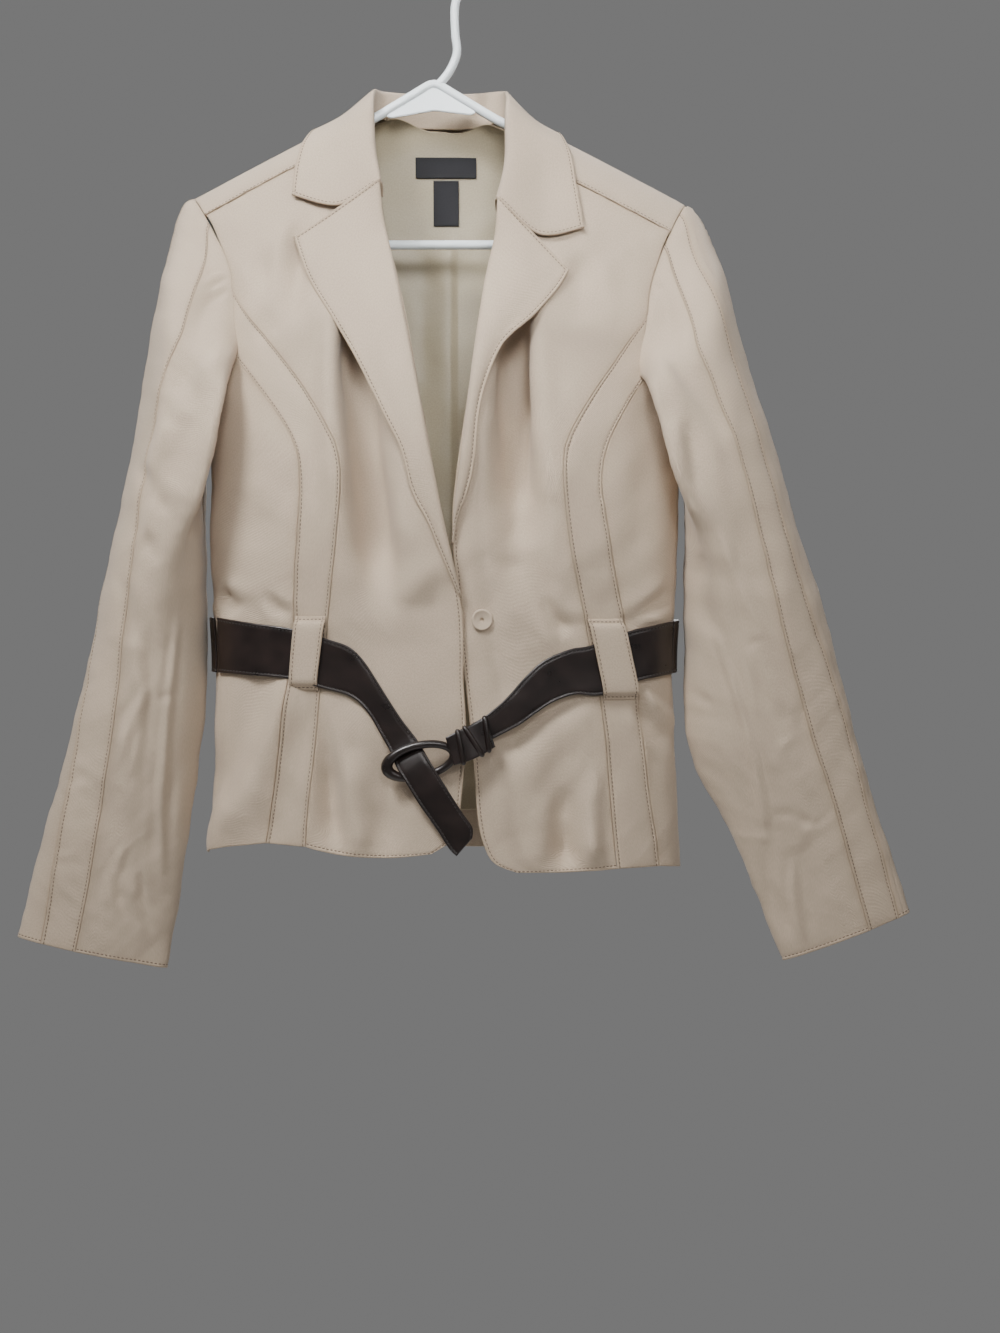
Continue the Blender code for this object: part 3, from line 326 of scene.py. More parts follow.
# Lift of the fall's middle and edge off the body
COLLAR_LIFT = (6.4, 5.2)

# Belt stretches: upper and lower edge from the side to the buckle, and the lift of the strap off the cloth
BeltRow = namedtuple("BeltRow", "upper_x upper lower_x lower lift")
BELT_RIGHT = rows_of(BeltRow, [
    (-190, -564, -190, -611, 1.4),
    (-160, -569, -160, -613.5, 1.4),
    (-125, -574, -126.5, -616.5, 1.4),
    (-94, -583, -100, -624, 1.4),
    (-77, -589, -88, -627, 1.6),
    (-66, -599, -78, -630, 1.6),
    (-57, -612, -69, -635.5, 1.6),
    (-46, -630, -60, -646, 1.6),
    (-34, -648.5, -52, -660, 1.6),
    (-21.5, -665, -43, -676, 2.2),
    (-14, -676, -37, -689, 8.0),
    (-8, -686, -30, -700, 10.8),
    (4, -706, -18, -720, 10.0),
    (17, -727, -4, -741, 7.0),
    (25, -739, 6, -757, 5.0),
    (25, -748, 12, -763, 4.5),
])
BELT_LEFT = rows_of(BeltRow, [
    (192, -567, 192, -612, 1.8),
    (176, -571, 178, -615, 1.8),
    (155, -576, 160, -619, 1.6),
    (123, -588, 131.5, -630, 1.4),
    (106.5, -591, 110, -629.5, 1.6),
    (85, -600, 92, -635.5, 1.6),
    (69, -614, 78, -644.5, 1.6),
    (52, -633, 63, -655, 1.6),
    (35.5, -647, 45, -664.5, 0.8),
    (24, -653.5, 33, -671, 0.6),
])
BELT_WRAP = rows_of(BeltRow, [
    (35, -648, 44, -672, 6.0),
    (25, -653, 34, -678, 8.0),
    (14, -658, 23, -683, 11.4),
    (3, -664, 10, -687, 11.8),
])
# Back of the belt: turn in degrees round the body from the centre front, with the strap's two edges
BeltTurn = namedtuple("BeltTurn", "turn upper lower")
BELT_BACK = rows_of(BeltTurn, [
    (-282.8, -567, -612), (-270, -565, -611), (-240, -563, -610),
    (-180, -562, -610), (-120, -562, -610), (-90, -563, -610.5),
    (-76.5, -564, -611),
])
BELT_BACK_LIFT = 1.5

# Belt loops: rows down the strip from above the belt to below it, each its height and its lift off the cloth
LOOPS = {
    RIGHT: [(-564, -0.9), (-568, 1.6), (-573, 4.8), (-600, 5.6), (-618, 4.8), (-622, 1.6), (-626, -0.9)],
    LEFT: [(-566, -0.9), (-570, 1.6), (-575, 4.8), (-604, 5.6), (-626, 4.8), (-630, 1.6), (-634, -0.9)],
}
LOOP_WALL = 1.6
# Share of the strip's width left bare on each side of a loop
LOOP_INSET = 0.06
SeamPoint = namedtuple("SeamPoint", "height x")

# Buckle's ring: its oval, how far its upper side leans to the viewer, its tube, and how much the tube swells
# at the end away from the wrap
RING_CENTRE = (-18.0, -92.5, -684.0)
RING_HALF_LENGTH = 28.0
RING_HALF_WIDTH = 13.0
RING_SLANT = math.radians(13)
RING_LEAN = 3.0
RING_TUBE = 3.3
RING_SWELL = 1.5
RING_STEPS = 72

# Button: its place, and its profile as radius and height
BUTTON_X = 33.0
BUTTON_HEIGHT = -567.0
BUTTON_WALL = 3.0
BUTTON_LIFT = 1.0
BUTTON_PROFILE = [
    (0.0, -1.5), (8.2, -1.5), (8.75, -1.0), (8.8, 0.6), (8.5, 1.3), (7.8, 1.5), (6.9, 1.2), (6.3, 0.85),
    (2.0, 0.95), (1.6, 0.8), (1.4, -0.9), (0.0, -0.9),
]
BUTTON_STEPS = 48

# Lining inside the back: its top edge lies under the ridge, and rises between two distances from the centre
LINING_HALF_WIDTH = 146.0
LINING_TOP_DROP = 25.0
LINING_CORNER_RISE = 19.0
LINING_CORNER = (8.0, 48.0)
LINING_BOTTOM = -735.0
# Labels on the lining: their two sides, top and bottom
LABEL_NECK = (-28.0, 27.0, -148.0, -166.0)
LABEL_SIZE = (-12.0, 11.0, -168.0, -208.0)

# Hanger
TUBE = 4.0
HOOK_TUBE = 3.7
HANGER_APEX = (-10.0, -92.0)
ARM_START = 52.0
ARM_END = 184.0
ARM_CLEARANCE = 1.2
BAR_HEIGHT = -235.0
END_RADIUS = 17.0
END_SET_BACK = 4.0
END_ARC = (math.radians(45), math.radians(-90))
END_STEPS = 4
HOOK_RADIUS = 24.0
HOOK_START_ANGLE = math.radians(-20)
HOOK_TIP_ANGLE = math.radians(205)
HOOK_STEPS = 56
STEM = [(-8.0, -96.0), (3.0, -83.0), (10.0, -66.0), (8.5, -48.0), (8.5, -24.0), (14.5, -6.0)]
STEM_STEPS = 5
WEB = [(-10.0, -91.0), (-54.0, -117.0), (-50.0, -124.0), (-10.0, -117.0), (24.0, -121.0), (30.0, -115.0)]
WEB_HALF_WALL = 1.6
# Bevel of the web's edges in metres
WEB_BEVEL = 0.0007
# Rounded corners: radius and steps, and the share of a side that a corner may take
FRAME_CORNER = (7.0, 4)
WEB_CORNER = (3.0, 3)
CORNER_SHARE = 0.45

# Creases, listed one by one: a line in x and height, its sideways bow, half width and depth.
# A negative depth stands up.
Crease = namedtuple("Crease", "x height end_x end bow width depth")
FRONT_CREASES = rows_of(Crease, [
    (-120, -228, -133, -318, -3, 11, 6.5),
    (-150, -262, -146, -330, 2, 9, 3.0),
    (-188, -542, -174, -558, 1, 7, 4.5),
    (-147, -547, -130, -564, 1, 5, 3.0),
    (-130, -627, -191, -754, -6, 15, -8.0),
    (-97, -660, -91, -754, 2, 8, 6.5),
    (-74, -318, -50, -530, 4, 12, 9.5),
    (-92, -330, -80, -480, 4, 9, -3.0),
    (62, -312, 62, -455, 2, 12, 10.0),
    (80, -310, 82, -450, 2, 8, -3.0),
    (-75, -684, -68, -758, -2, 10, -4.0),
    (-39, -551, -2, -518, 4, 12, -2.0),
    (-160, -440, -150, -520, 3, 14, 1.8),
    (103, -713, 106, -776, 3, 10, 6.0),
    (128, -700, 123, -772, 1, 8, -4.0),
    (110, -634, 48, -684, 6, 12, 4.5),
    (169, -627, 197, -655, 1, 5, -2.0),
    (164, -638, 191, -667, 2, 7, 2.5),
    (174, -679, 188, -694, 1, 4, 1.5),
    (154, -566, 194, -542, 2, 5, 3.5),
    (154, -570, 186, -574, 1, 4, 2.2),
    (84, -553, 106, -577, 2, 7, 3.6),
    (52, -518, 85, -551, -3, 12, 2.0),
    (120, -262, 112, -318, 2, 12, 2.5),
    (168, -430, 160, -520, -3, 13, 1.8),
])
BACK_CREASES = rows_of(Crease, [
    (-118, -420, -104, -548, 6, 15, 3.0),
    (-58, -470, -44, -556, 3, 13, 2.6),
    (66, -480, 54, -556, -3, 13, 2.6),
    (124, -410, 112, -545, -6, 15, 3.0),
    (-88, -626, -104, -770, 4, 18, 4.0),
    (6, -622, 12, -770, -4, 20, 3.4),
    (98, -626, 110, -775, -4, 18, 4.0),
    (-164, -540, -140, -556, 2, 6, 2.4),
    (158, -534, 136, -554, 2, 6, 2.4),
    (-90, -215, -150, -250, 4, 12, 2.0),
    (84, -215, 146, -254, -4, 12, 2.0),
])
SLEEVE_CREASES = {
    RIGHT: rows_of(Crease, [
        (-224, -584, -241, -777, 3, 3.2, -2.4),
        (-246, -491, -236, -517, 2, 6, 1.8),
        (-237, -466, -246, -500, -2, 5, -2.0),
        (-241, -634, -222, -624, 1, 3, 1.0),
        (-247, -626, -265, -686, 5, 5, -2.2),
        (-246, -569, -255, -727, -4, 6, 2.2),
        (-264, -684, -259, -626, 2, 4, 1.8),
        (-280, -769, -272, -814, 2, 4, 2.0),
        (-271, -760, -284, -802, 2, 4, -1.5),
        (-258, -785, -252, -827, 1, 4, 1.6),
        (-316, -626, -296, -617, 1, 4, 0.6),
        (-324, -705, -303, -697, 1, 4, 0.6),
        (-331, -768, -308, -762, 1, 4, -0.6),
        (-192, -290, -212, -399, 5, 10, 3.0),
        (-204, -324, -231, -416, 5, 12, -2.0),
        (-268, -535, -258, -585, -3, 7, 1.8),
        (-186, -352, -243, -450, 3, 8, -3.2),
        (-229, -388, -214, -412, 1, 6, 1.5),
        (-186, -268, -200, -272, 0, 2.6, 1.4),
        (-184, -278, -199, -284, 0, 2.6, 1.4),
        (-182, -289, -198, -297, 0, 2.6, 1.2),
        (-250, -440, -228, -478, 2, 7, 2.2),
        (-230, -700, -238, -745, 2, 5, 1.8),
    ]),
    LEFT: rows_of(Crease, [
        (234, -505, 273, -583, 4, 6, -2.2),
        (216, -517, 229, -584, 3, 7, 2.5),
        (273, -583, 253, -590, 1, 3, 0.7),
        (234, -592, 274, -743, -4, 3.2, -2.2),
        (226, -638, 207, -626, 1, 4, 0.9),
        (290, -667, 279, -693, 2, 5, -0.9),
        (300, -634, 312, -684, 2, 6, 1.6),
        (315, -741, 283, -731, 2, 4, 1.0),
        (315, -741, 329, -726, 1, 3, 0.8),
        (315, -741, 300, -760, 1, 4, -0.8),
        (298, -778, 306, -839, 2, 4, -2.4),
        (274, -760, 288, -827, 3, 7, 2.0),
        (253, -750, 279, -753, 1, 3, -0.7),
        (207, -408, 222, -500, 4, 9, 3.0),
        (237, -399, 253, -483, 4, 10, -1.6),
        (189, -298, 199, -374, 4, 8, 2.5),
        (262, -610, 284, -650, 3, 5, 1.6),
        (176, -272, 190, -276, 0, 2.6, 1.4),
        (175, -283, 189, -290, 0, 2.6, 1.4),
        (176, -350, 226, -452, -3, 8, -2.6),
        (200, -396, 214, -440, 2, 7, 2.4),
    ]),
}
# A crease's width at its start and its growth, how far it runs past its ends, how it fades there, how uneven
# it is along its length, and how much of its depth rises on both sides of it
CREASE_START = 0.8
CREASE_GROWTH = 0.4
CREASE_OVERRUN = 0.2
CREASE_FADE = 0.45
CREASE_UNEVEN = 0.25
CREASE_RIPPLE = 7
CREASE_RISE = 0.35
# How sharply the cloth turns from front creases to back creases, and the height below which both set in
FACING = 2.5
BODY_FIELD_TOP = -170.0
# Lining's back pleat: the fold's edge and depth, and how it fades to the side and above
PLEAT_X = 6.0
PLEAT_TOP = -205.0
PLEAT_DEPTH = 3.5
PLEAT_SOFT = 1.2
PLEAT_WIDTH = 30.0
PLEAT_FADE = 25.0
PLEAT_SET_IN = 40.0

# How much deeper than in their table the front's creases lie
FRONT_DEPTH = 1.25

# Unevenness of the cloth, as sizes and amounts in millimetres
SLOW_SIZE = 92.0
SLOW_AMOUNT = 1.3
SMALL_SIZE = 31.0
SMALL_AMOUNT = {"body": 0.45, "sleeve": 0.6}
# Its waves run along two bent directions
Bend = namedtuple("Bend", "amount pace start depth")
BENT = Bend(0.45, 1.7, 0.6, 0.3)
RISEN = Bend(0.5, 1.3, 1.9, -0.4)
Wave = namedtuple("Wave", "amount across along start")
WAVES = rows_of(Wave, [(1.0, 5.1, 1.1, 0.0), (1.0, -2.2, 4.3, 2.0), (0.7, 8.3, 6.1, 0.7),
                       (0.5, -3.7, 11.9, 0.0)])

# Grid spacing, fine columns beside every edge, and the share of a side that they may take
SPACING = 3.6
BACK_SPACING = 5.0
BELT_SPACING = 3.0
LABEL_SPACING = 2.0
FINE = (0.0, 0.45, 0.9, 1.5, 2.1, 2.7, 3.4, 4.2, 5.4)
FINE_SHARE = 0.4
MEASURE_LINES = 13
# Rounding of cut edges, as shares of the wall, and how far from a seam the cloth is darkened, partly as wear
# and partly as painted shade
ROUND_REACH = 0.9
ROUND_DEPTH = 0.42
SEAM_SHADE = 3.0

# Stitching
STITCH_PITCH = 3.4
STITCH_LENGTH = 2.4
STITCH_RADIUS = 0.45
STITCH_SIDES = 6
STITCH_SINK = 0.25
STITCH_RINGS = ((-1.0, 0.0), (-0.8, 0.72), (0.0, 1.0), (0.8, 0.72), (1.0, 0.0))
EDGE_INSET = 2.4
HEM_INSET = 2.9
GROOVE = 0.55
GROOVE_WIDTH = 0.8
PUFF = 0.35
PUFF_FADE = 2.0
# Sewn lines of the pieces: the edge that each line follows, and its distance from it
SEWN_SIDES = [("u0", EDGE_INSET), ("u1", EDGE_INSET)]
SEWN_HEM = [("v1", HEM_INSET)]
SEWN_FRONT = [("u0", HEM_INSET), ("v1", HEM_INSET)]
SEWN_BACK = [("v1", EDGE_INSET), ("u1", EDGE_INSET)]
SEWN_LAPEL = [("u1", HEM_INSET), ("v0", HEM_INSET)]
SEWN_LOOP = SEWN_SIDES + [("v0", HEM_INSET), ("v1", HEM_INSET)]
SEWN_COLLAR = [("v1", HEM_INSET), ("u0", HEM_INSET), ("u1", HEM_INSET)]

# How far the back's hem is drawn up, and the heights between which that sets in
HEM_RAISE = 5.0
HEM_RAISE_FROM = (-690.0, -760.0)

# The lapel's roll, and how far from the armhole a sleeve's creases set in
ROLL_WIDTH = 5.0
ROLL_DROP = 3.2
SEAM_FADE = 14.0
# How far the lapel comes forward at the gorge, and along how much of it
GORGE_LIFT = 15.0
GORGE_REACH = 0.14
# Loops of thong round the belt's wrap: place along it, and how far each leans. Their direction is taken from
# a reach of the wrap on both sides; then come their share of the wrap's width and their lift off it.
KNOT_LOOPS = ((0.12, 3.0), (0.45, -3.0), (0.75, 2.0))
KNOT_RADIUS = 2.3
KNOT_STEPS = 32
KNOT_REACH = 0.05
KNOT_WIDTH = 0.97
KNOT_LIFT = 0.4

# Cut of each piece: greatest flat width and length, and the flat area, in metres and square metres
CUTS = {
    "front_right": (0.150, 0.644, 0.0723),
    "front_left": (0.146, 0.644, 0.0702),
    "strip_right": (0.059, 0.507, 0.0146),
    "strip_left": (0.052, 0.496, 0.0153),
    "side_right": (0.126, 0.440, 0.0392),
    "side_left": (0.110, 0.431, 0.0283),
    "back_right": (0.229, 0.773, 0.1432),
    "back_left": (0.238, 0.783, 0.1491),
    "lapel_right": (0.085, 0.366, 0.0144),
    "lapel_left": (0.084, 0.300, 0.0079),
    "loop_right": (0.027, 0.075, 0.0019),
    "loop_left": (0.033, 0.085, 0.0027),
    "sleeve_front_right": (0.207, 0.648, 0.0571),
    "sleeve_front_left": (0.203, 0.623, 0.0608),
    "sleeve_strip_right": (0.097, 0.667, 0.0335),
    "sleeve_strip_left": (0.053, 0.646, 0.0202),
    "sleeve_under_right": (0.130, 0.585, 0.0372),
    "sleeve_under_left": (0.131, 0.578, 0.0388),
    "sleeve_back_right": (0.134, 0.672, 0.0631),
    "sleeve_back_left": (0.185, 0.677, 0.0796),
    "collar": (0.500, 0.115, 0.0407),
    "lining_back": (0.319, 0.603, 0.1682),
    "label_neck": (0.055, 0.018, 0.00098),
    "label_size": (0.023, 0.040, 0.0009),
}

# Stage, in metres; its lens and sensor are in millimetres
FLOOR_HEIGHT = -1.62
FLOOR_RADIUS = 0.92
CAMERA = (0.048, -1.5, -0.642)
LENS = 61.36
SENSOR_WIDTH = 36.0
FLOOR_SIDES = 96
FLOOR_COLOUR = (0.78, 0.77, 0.75)
FLOOR_ROUGHNESS = 0.8
SKY_COLOUR = (0.92, 0.92, 0.92, 1.0)
SKY_STRENGTH = 0.2
# Lights: place, aim, size, power in watts and the degrees that each spreads over
MIDDLE = (0.0, 0.0, -0.5)
LIGHTS = [
    ("key", (-0.95, -1.3, 1.15), MIDDLE, 0.6, 68.0, 180.0),
    ("front", (0.15, -1.5, 0.15), (0.0, 0.0, -0.18), 0.5, 2.2, 50.0),
    ("fill", (1.4, -1.6, 0.2), MIDDLE, 1.2, 8.0, 180.0),
    ("top", (0.1, 0.3, 1.3), MIDDLE, 1.4, 12.0, 180.0),
    ("behind", (0.3, 1.9, 0.3), MIDDLE, 1.6, 22.0, 180.0),
]

# Colours that the cloths' own are multiplied by
WHITE = (1.0, 1.0, 1.0)
SLUB_COLOUR = (0.85, 0.85, 0.85)
# Darkening along seams: partly wear, partly painted shade in the seams' grooves
SEAM_WEAR_AND_SHADE_COLOUR = (0.84, 0.81, 0.77)


def mix(first, second, share):
    """The value at a share of the way from the first to the second."""
    return first + (second - first) * share


def swing(first, second, share):
    """From the middle of two values to the first at a share of one, and to the second at minus one."""
    return 0.5 * (first + second) + 0.5 * (first - second) * share


def four_rows(rows, index):
    """The row before a stretch, the stretch's two ends and the row after it."""
    return rows[max(index - 1, 0)], rows[index], rows[index + 1], rows[min(index + 2, len(rows) - 1)]


def blend(rows, position):
    """The row at a position counted in rows, on a smooth curve through the rows."""
    index = min(max(int(position), 0), len(rows) - 2)
    part = position - index
    values = []
    for a, b, c, d in zip(*four_rows(rows, index)):
        cubic = 3 * b - 3 * c + d - a
        square = 2 * a - 5 * b + 4 * c - d
        values.append(b + 0.5 * part * (c - a + part * (square + part * cubic)))
    return values


def row_at(rows, value):
    """The row whose first column has this value; the first column rises or falls all the way."""
    sign = 1 if rows[-1][0] > rows[0][0] else -1
    last = len(rows) - 2
    index = 0
    while index < last and sign * rows[index + 1][0] < sign * value:
        index += 1
    before, first, second, after = four_rows(rows, index)
    span = second[0] - first[0]
    part = min(max((value - first[0]) / span, 0.0), 1.0)
    values = []
    for a, b, c, d in zip(before, first, second, after):
        start = (c - a) * span / (second[0] - before[0])
        end = (d - b) * span / (after[0] - first[0])
        cubic = 2 * b - 2 * c + start + end
        square = 3 * c - 3 * b - 2 * start - end
        values.append(b + part * (start + part * (square + part * cubic)))
    return type(first)(*values)


def ease(value, start, end):
    """Zero at the start and one at the end, with a soft rise between."""
    part = min(max((value - start) / (end - start), 0.0), 1.0)
    return part * part * (3 - 2 * part)


def bump(turn, middle, spread):
    """A smooth rise from 0 to 1 at the middle turn and back to 0."""
    away = (turn % 360 - middle) / spread
    return math.exp(-away * away)


def ridge(x):
    """Height of the shoulder ridge."""
    return RIDGE_TOP - RIDGE_SLOPE * (math.hypot(x - RIDGE_X, RIDGE_ROUND) - RIDGE_ROUND)


def fold_depth(x, height):
    """How far the hanging folds take the front back from its smooth form."""
    depth = 0.0
    for fold in FOLDS:
        share = (height - fold.top) / (fold.bottom - fold.top)
        if 0.0 < share < 1.0:
            middle = fold.top_x + (fold.bottom_x - fold.top_x) * share
            fade = ease(fold.top - height, 0, SET_IN) * ease(1 - share, 0, FOLD_RUN_OUT)
            depth += fold.depth * fade * math.exp(-((x - middle) / fold.width) ** 2)
    return depth


def angle_at(x, height):
    """Turn round the body, from its middle, at which a level reaches x."""
    ratio = x / row_at(BODY, height).half_width
    return math.asin(min(max(ratio, -1.0), 1.0))


def body_point(angle, height, face, folded=False):
    """A point of the body's outer surface."""
    level = row_at(BODY, height)
    x = level.half_width * math.sin(angle)
    level_part = max(math.cos(angle), 0.0)
    drop = min(max(ridge(x) - height, 0.0), SHOULDER_RADIUS)
    rounding = math.sqrt(1 - (1 - drop / SHOULDER_RADIUS) ** 2)
    if face == BACK:
        y = level.middle + level.back * level_part ** BACK_FULLNESS * rounding
    else:
        y = level.middle - level.front * level_part ** FRONT_FULLNESS * rounding
        if folded:
            y += fold_depth(x, height)
    return Vector((x, y, height))


def over_point(x, over):
    """A point of the body's surface counted from the shoulder ridge."""
    height = ridge(x) - abs(over)
    return body_point(angle_at(x, height), height, BACK if over > 0 else FRONT)


def over_normal(x, over):
    """Outward normal of the body's surface at a place counted from the shoulder ridge."""
    along_x = over_point(x + 1, over) - over_point(x - 1, over)
    along_over = over_point(x, over + 1) - over_point(x, over - 1)
    return along_x.cross(along_over).normalized()


def front_point(x, height):
    """A point of the front's smooth outer surface."""
    return body_point(angle_at(x, height), height, FRONT)


def normal_at(place, u, v):
    """Unit normal of a surface, from small steps along it."""
    u_low, u_high = max(u - STEP, 0.0), min(u + STEP, 1.0)
    v_low, v_high = max(v - STEP, 0.0), min(v + STEP, 1.0)
    along_u = place(u_high, v) - place(u_low, v)
    along_v = place(u, v_high) - place(u, v_low)
    return along_u.cross(along_v).normalized()


def lifted(place, lift):
    """The surface moved along its normals."""
    def moved(u, v):
        return place(u, v) + normal_at(place, u, v) * lift
    return moved


def to_world(point):
    """From the tables' millimetres to metres below the hook."""
    return Vector((point[0], point[1], point[2] - HOOK_RISE)) * MM


def ruled(first, second, face, folded, sag=None):
    """A panel between two edges, each a list of (x, height) rows, half a seam gap inside both."""
    def place(u, v):
        position = v * (len(first) - 1)
        x_one, height_one = blend(first, position)
        x_two, height_two = blend(second, position)
        angle_one = angle_at(x_one, height_one)
        angle_two = angle_at(x_two, height_two)
        start = body_point(angle_one, height_one, face)
        end = body_point(angle_two, height_two, face)
        inset = 0.5 * SEAM_GAP / (end - start).length
        share = inset + u * (1 - 2 * inset)
        angle = mix(angle_one, angle_two, share)
        height = mix(height_one, height_two, share)
        if sag is not None:
            height -= sag(share, angle, height, position)
        return body_point(angle, height, face, folded)
    return place


def armhole_row(turn, side):
    """Place of the armhole at a turn from the shoulder tip, as x and height."""
    turn %= 360
    if STRIP_OUTER_TURN < turn < UNDERARM_TURN:
        x_one, height_one = armhole_row(STRIP_OUTER_TURN, side)
        height_two = armhole_row(UNDERARM_TURN, side)[1]
        share = (turn - STRIP_OUTER_TURN) / (UNDERARM_TURN - STRIP_OUTER_TURN)
        height = mix(height_one, height_two, share)
        angle = mix(angle_at(x_one, height_one), side * math.pi / 2, share)
        return row_at(BODY, height).half_width * math.sin(angle), height
    row = row_at(ARMHOLE, turn)
    if side == RIGHT:
        return row.right_x, row.right_height
    return row.left_x, row.left_height


def neck_rows(side):
    """Neck edge of a front as x and height."""
    return [(row.right_x, row.right) if side == RIGHT else (row.left_x, row.left) for row in NECK_EDGE]


def front_sag(side):
    """The front's top edge keeps beside the shoulder seam, and its hem hangs in a shallow bow."""
    def sag(share, angle, height, position):
        bow = HEM_BOW[side] * 4 * share * (1 - share) * ease(HEM_BOW_TOP - height, 0, SET_IN)
        x = row_at(BODY, height).half_width * math.sin(angle)
        seam = ridge(x) - SHOULDER_SEAM_DROP[side] - SEAM_GAP
        return bow + (height - seam) * max(1 - position, 0.0)
    return sag


def underlap(x, height):
    """How far the wearer's left front lies behind the right one."""
    return UNDERLAP_DEPTH * (1 - ease(x, 0, UNDERLAP_REACH)) * ease(UNDERLAP_TOP - height, 0, SET_IN)


def front_surface(side):
    """Centre front from the front edge, u=0, to the armhole and the strip, u=1."""
    sections = FRONT_SECTIONS[side]
    edge = neck_rows(side) + [(row.edge_x, row.edge) for row in sections]
    seam = [armhole_row(turn, side) for turn in SHOULDER_TURNS]
    seam += [(row.inner_x, row.inner) for row in sections]
    place = ruled(edge, seam, FRONT, True, front_sag(side))
    if side == RIGHT:
        return place

    def under(u, v):
        point = place(u, v)
        return point + Vector((0, underlap(point.x, point.z), 0))
    return under


def strip_surface(side):
    """Inset strip between the two princess seams."""
    sections = FRONT_SECTIONS[side]
    inner = [(row.inner_x, row.inner) for row in sections]
    outer = [(row.outer_x, row.outer) for row in sections]
    return ruled(inner, outer, FRONT, True)


def side_surface(side):
    """Side front between the strip and the side seam."""
    sections = FRONT_SECTIONS[side]
    outer = [(row.outer_x, row.outer) for row in sections]
    seam = [(side * row_at(BODY, row.side).half_width, row.side) for row in sections]
    return ruled(outer, seam, FRONT, True)


def back_rows(side):
    """Rows of the back from the hem up and over the shoulder: two ends, each an angle and a height."""
    rows = []
    for section, other in zip(reversed(FRONT_SECTIONS[side]), reversed(FRONT_SECTIONS[-side])):
        centre = 0.5 * (section.side + other.side)
        rows.append((side * math.pi / 2, section.side, angle_at(CENTRE_BACK_X, centre), centre))
    for row in BACK_RISE[1:]:
        x, height = armhole_row(row.turn, side)
        rows.append((angle_at(x, height), height, angle_at(CENTRE_BACK_X, row.centre), row.centre))
    return rows


def back_surface(side):
    """Half back from the side seam and armhole, u=0, to the centre back and neck, u=1."""
    lower = back_rows(side)
    yoke = YOKE[side]
    last = len(lower) - 1
    total = last + len(yoke)

    def yoke_ends(row):
        x, height = armhole_row(row.turn, side)
        over = ridge(x) - height
        if row is yoke[-1]:
            over = SHOULDER_SEAM_DROP[side]
        if row.turn >= 360:
            over = -over
        return x, over, row.neck_x, row.over

    ends = [yoke_ends(row) for row in yoke]

    def lower_point(share, position):
        angle_one, height_one, angle_two, height_two = blend(lower, position)
        height = mix(height_one, height_two, share)
        return body_point(mix(angle_one, angle_two, share), height, BACK)

    def yoke_point(share, position):
        x_one, over_one, x_two, over_two = blend(ends, position)
        return over_point(mix(x_one, x_two, share), mix(over_one, over_two, share))

    def place(u, v):
        position = v * total
        share = BACK_INSET + u * (1 - 2 * BACK_INSET)
        if position <= last:
            return lower_point(share, position)
        if position >= last + 1:
            return yoke_point(share, position - last - 1)
        part = position - last
        return lower_point(share, last).lerp(yoke_point(share, 0), part)
    return place


def sleeve_surface(side, first_turn, second_turn):
    """Part of a sleeve between two seams; each seam is a function of the position along the rings."""
    rings = SLEEVES[side]

    def armhole_point(turn):
        x, height = armhole_row(turn, side)
        face = FRONT if turn % 360 < UNDERARM_TURN else BACK
        point = body_point(angle_at(x, height), height, face)
        tuck = Vector((0, ARMHOLE_CENTRE[0] - point.y, ARMHOLE_CENTRE[1] - point.z)).normalized()
        stand_off = STAND_OFF * bump(turn, STAND_OFF_TURN, STAND_OFF_SPREAD)
        under = 1 - max(math.cos(math.radians(turn)), 0.0) ** 2
        step = Vector((side * ARMHOLE_STEP, -stand_off, 0)) + tuck * ARMHOLE_TUCK
        return point + step * under

    def ring_point(index, turn):
        if index == 0:
            return armhole_point(turn)
        ring = rings[index - 1]
        across = math.cos(math.radians(turn))
        forward = math.sin(math.radians(turn))
        x = swing(ring.outer_x, ring.inner_x, across)
        x -= side * ring.lean * max(forward, 0.0)
        overhang = ring.overhang * bump(turn, OVERHANG_TURN, OVERHANG_SPREAD)
        x -= side * overhang
        y = swing(ring.front, ring.back, forward)
        y -= OVERHANG_FORWARD * overhang
        return Vector((x, y, swing(ring.outer, ring.inner, across)))

    def place(u, v):
        position = v * len(rings)
        turn_one = first_turn(position) + SLEEVE_INSET
        turn_two = second_turn(position) - SLEEVE_INSET
        turn = mix(turn_one, turn_two, u)
        index = min(int(position), len(rings) - 1)
        around = range(index - 1, index + 3)
        points = [ring_point(min(max(ring, 0), len(rings)), turn) for ring in around]
        point = Vector(blend(points, 1 + position - index))
        early = min(position, 1.0)
        head = CAP_FULLNESS * CAP_PEAK * early * (1 - early) ** 2 * max(math.cos(math.radians(turn)), 0.0)
        return point + Vector((side * CAP_OUT, 0, CAP_UP)) * head
    return place


def sleeve_seam(side, column):
    """Turn of a sleeve seam along the rings: column 0 is the front seam, column 1 the back one."""
    turns = [CAP_SEAM_TURNS[side][column]]
    turns += [(ring.front_seam, ring.back_seam)[column] for ring in SLEEVES[side]]

    def turn(position):
        return blend([(value,) for value in turns], position)[0]
    return turn


def lapel_surface(side):
    """Lapel from the roll line, u=0, to its outer edge, clear of the front it lies on."""
    rows = LAPELS[side]

    def place(u, v):
        roll_x, roll, edge_x, edge = blend(rows, v * (len(rows) - 1))
        bulge = LAPEL_BULGE * math.sin(math.pi * min(u * LAPEL_CROWN, 1.0)) * (1 - v * v)
        below = ease(v, 0, GORGE_REACH)
        lift = LAPEL_LIFT + bulge * below + GORGE_LIFT * (1 - u) ** 2 * (1 - below)
        point = front_point(mix(roll_x, edge_x, u), mix(roll, edge, u)) + Vector((0, -lift, 0))
        if side == LEFT:
            point.y += underlap(point.x, point.z)
        return point
    return place


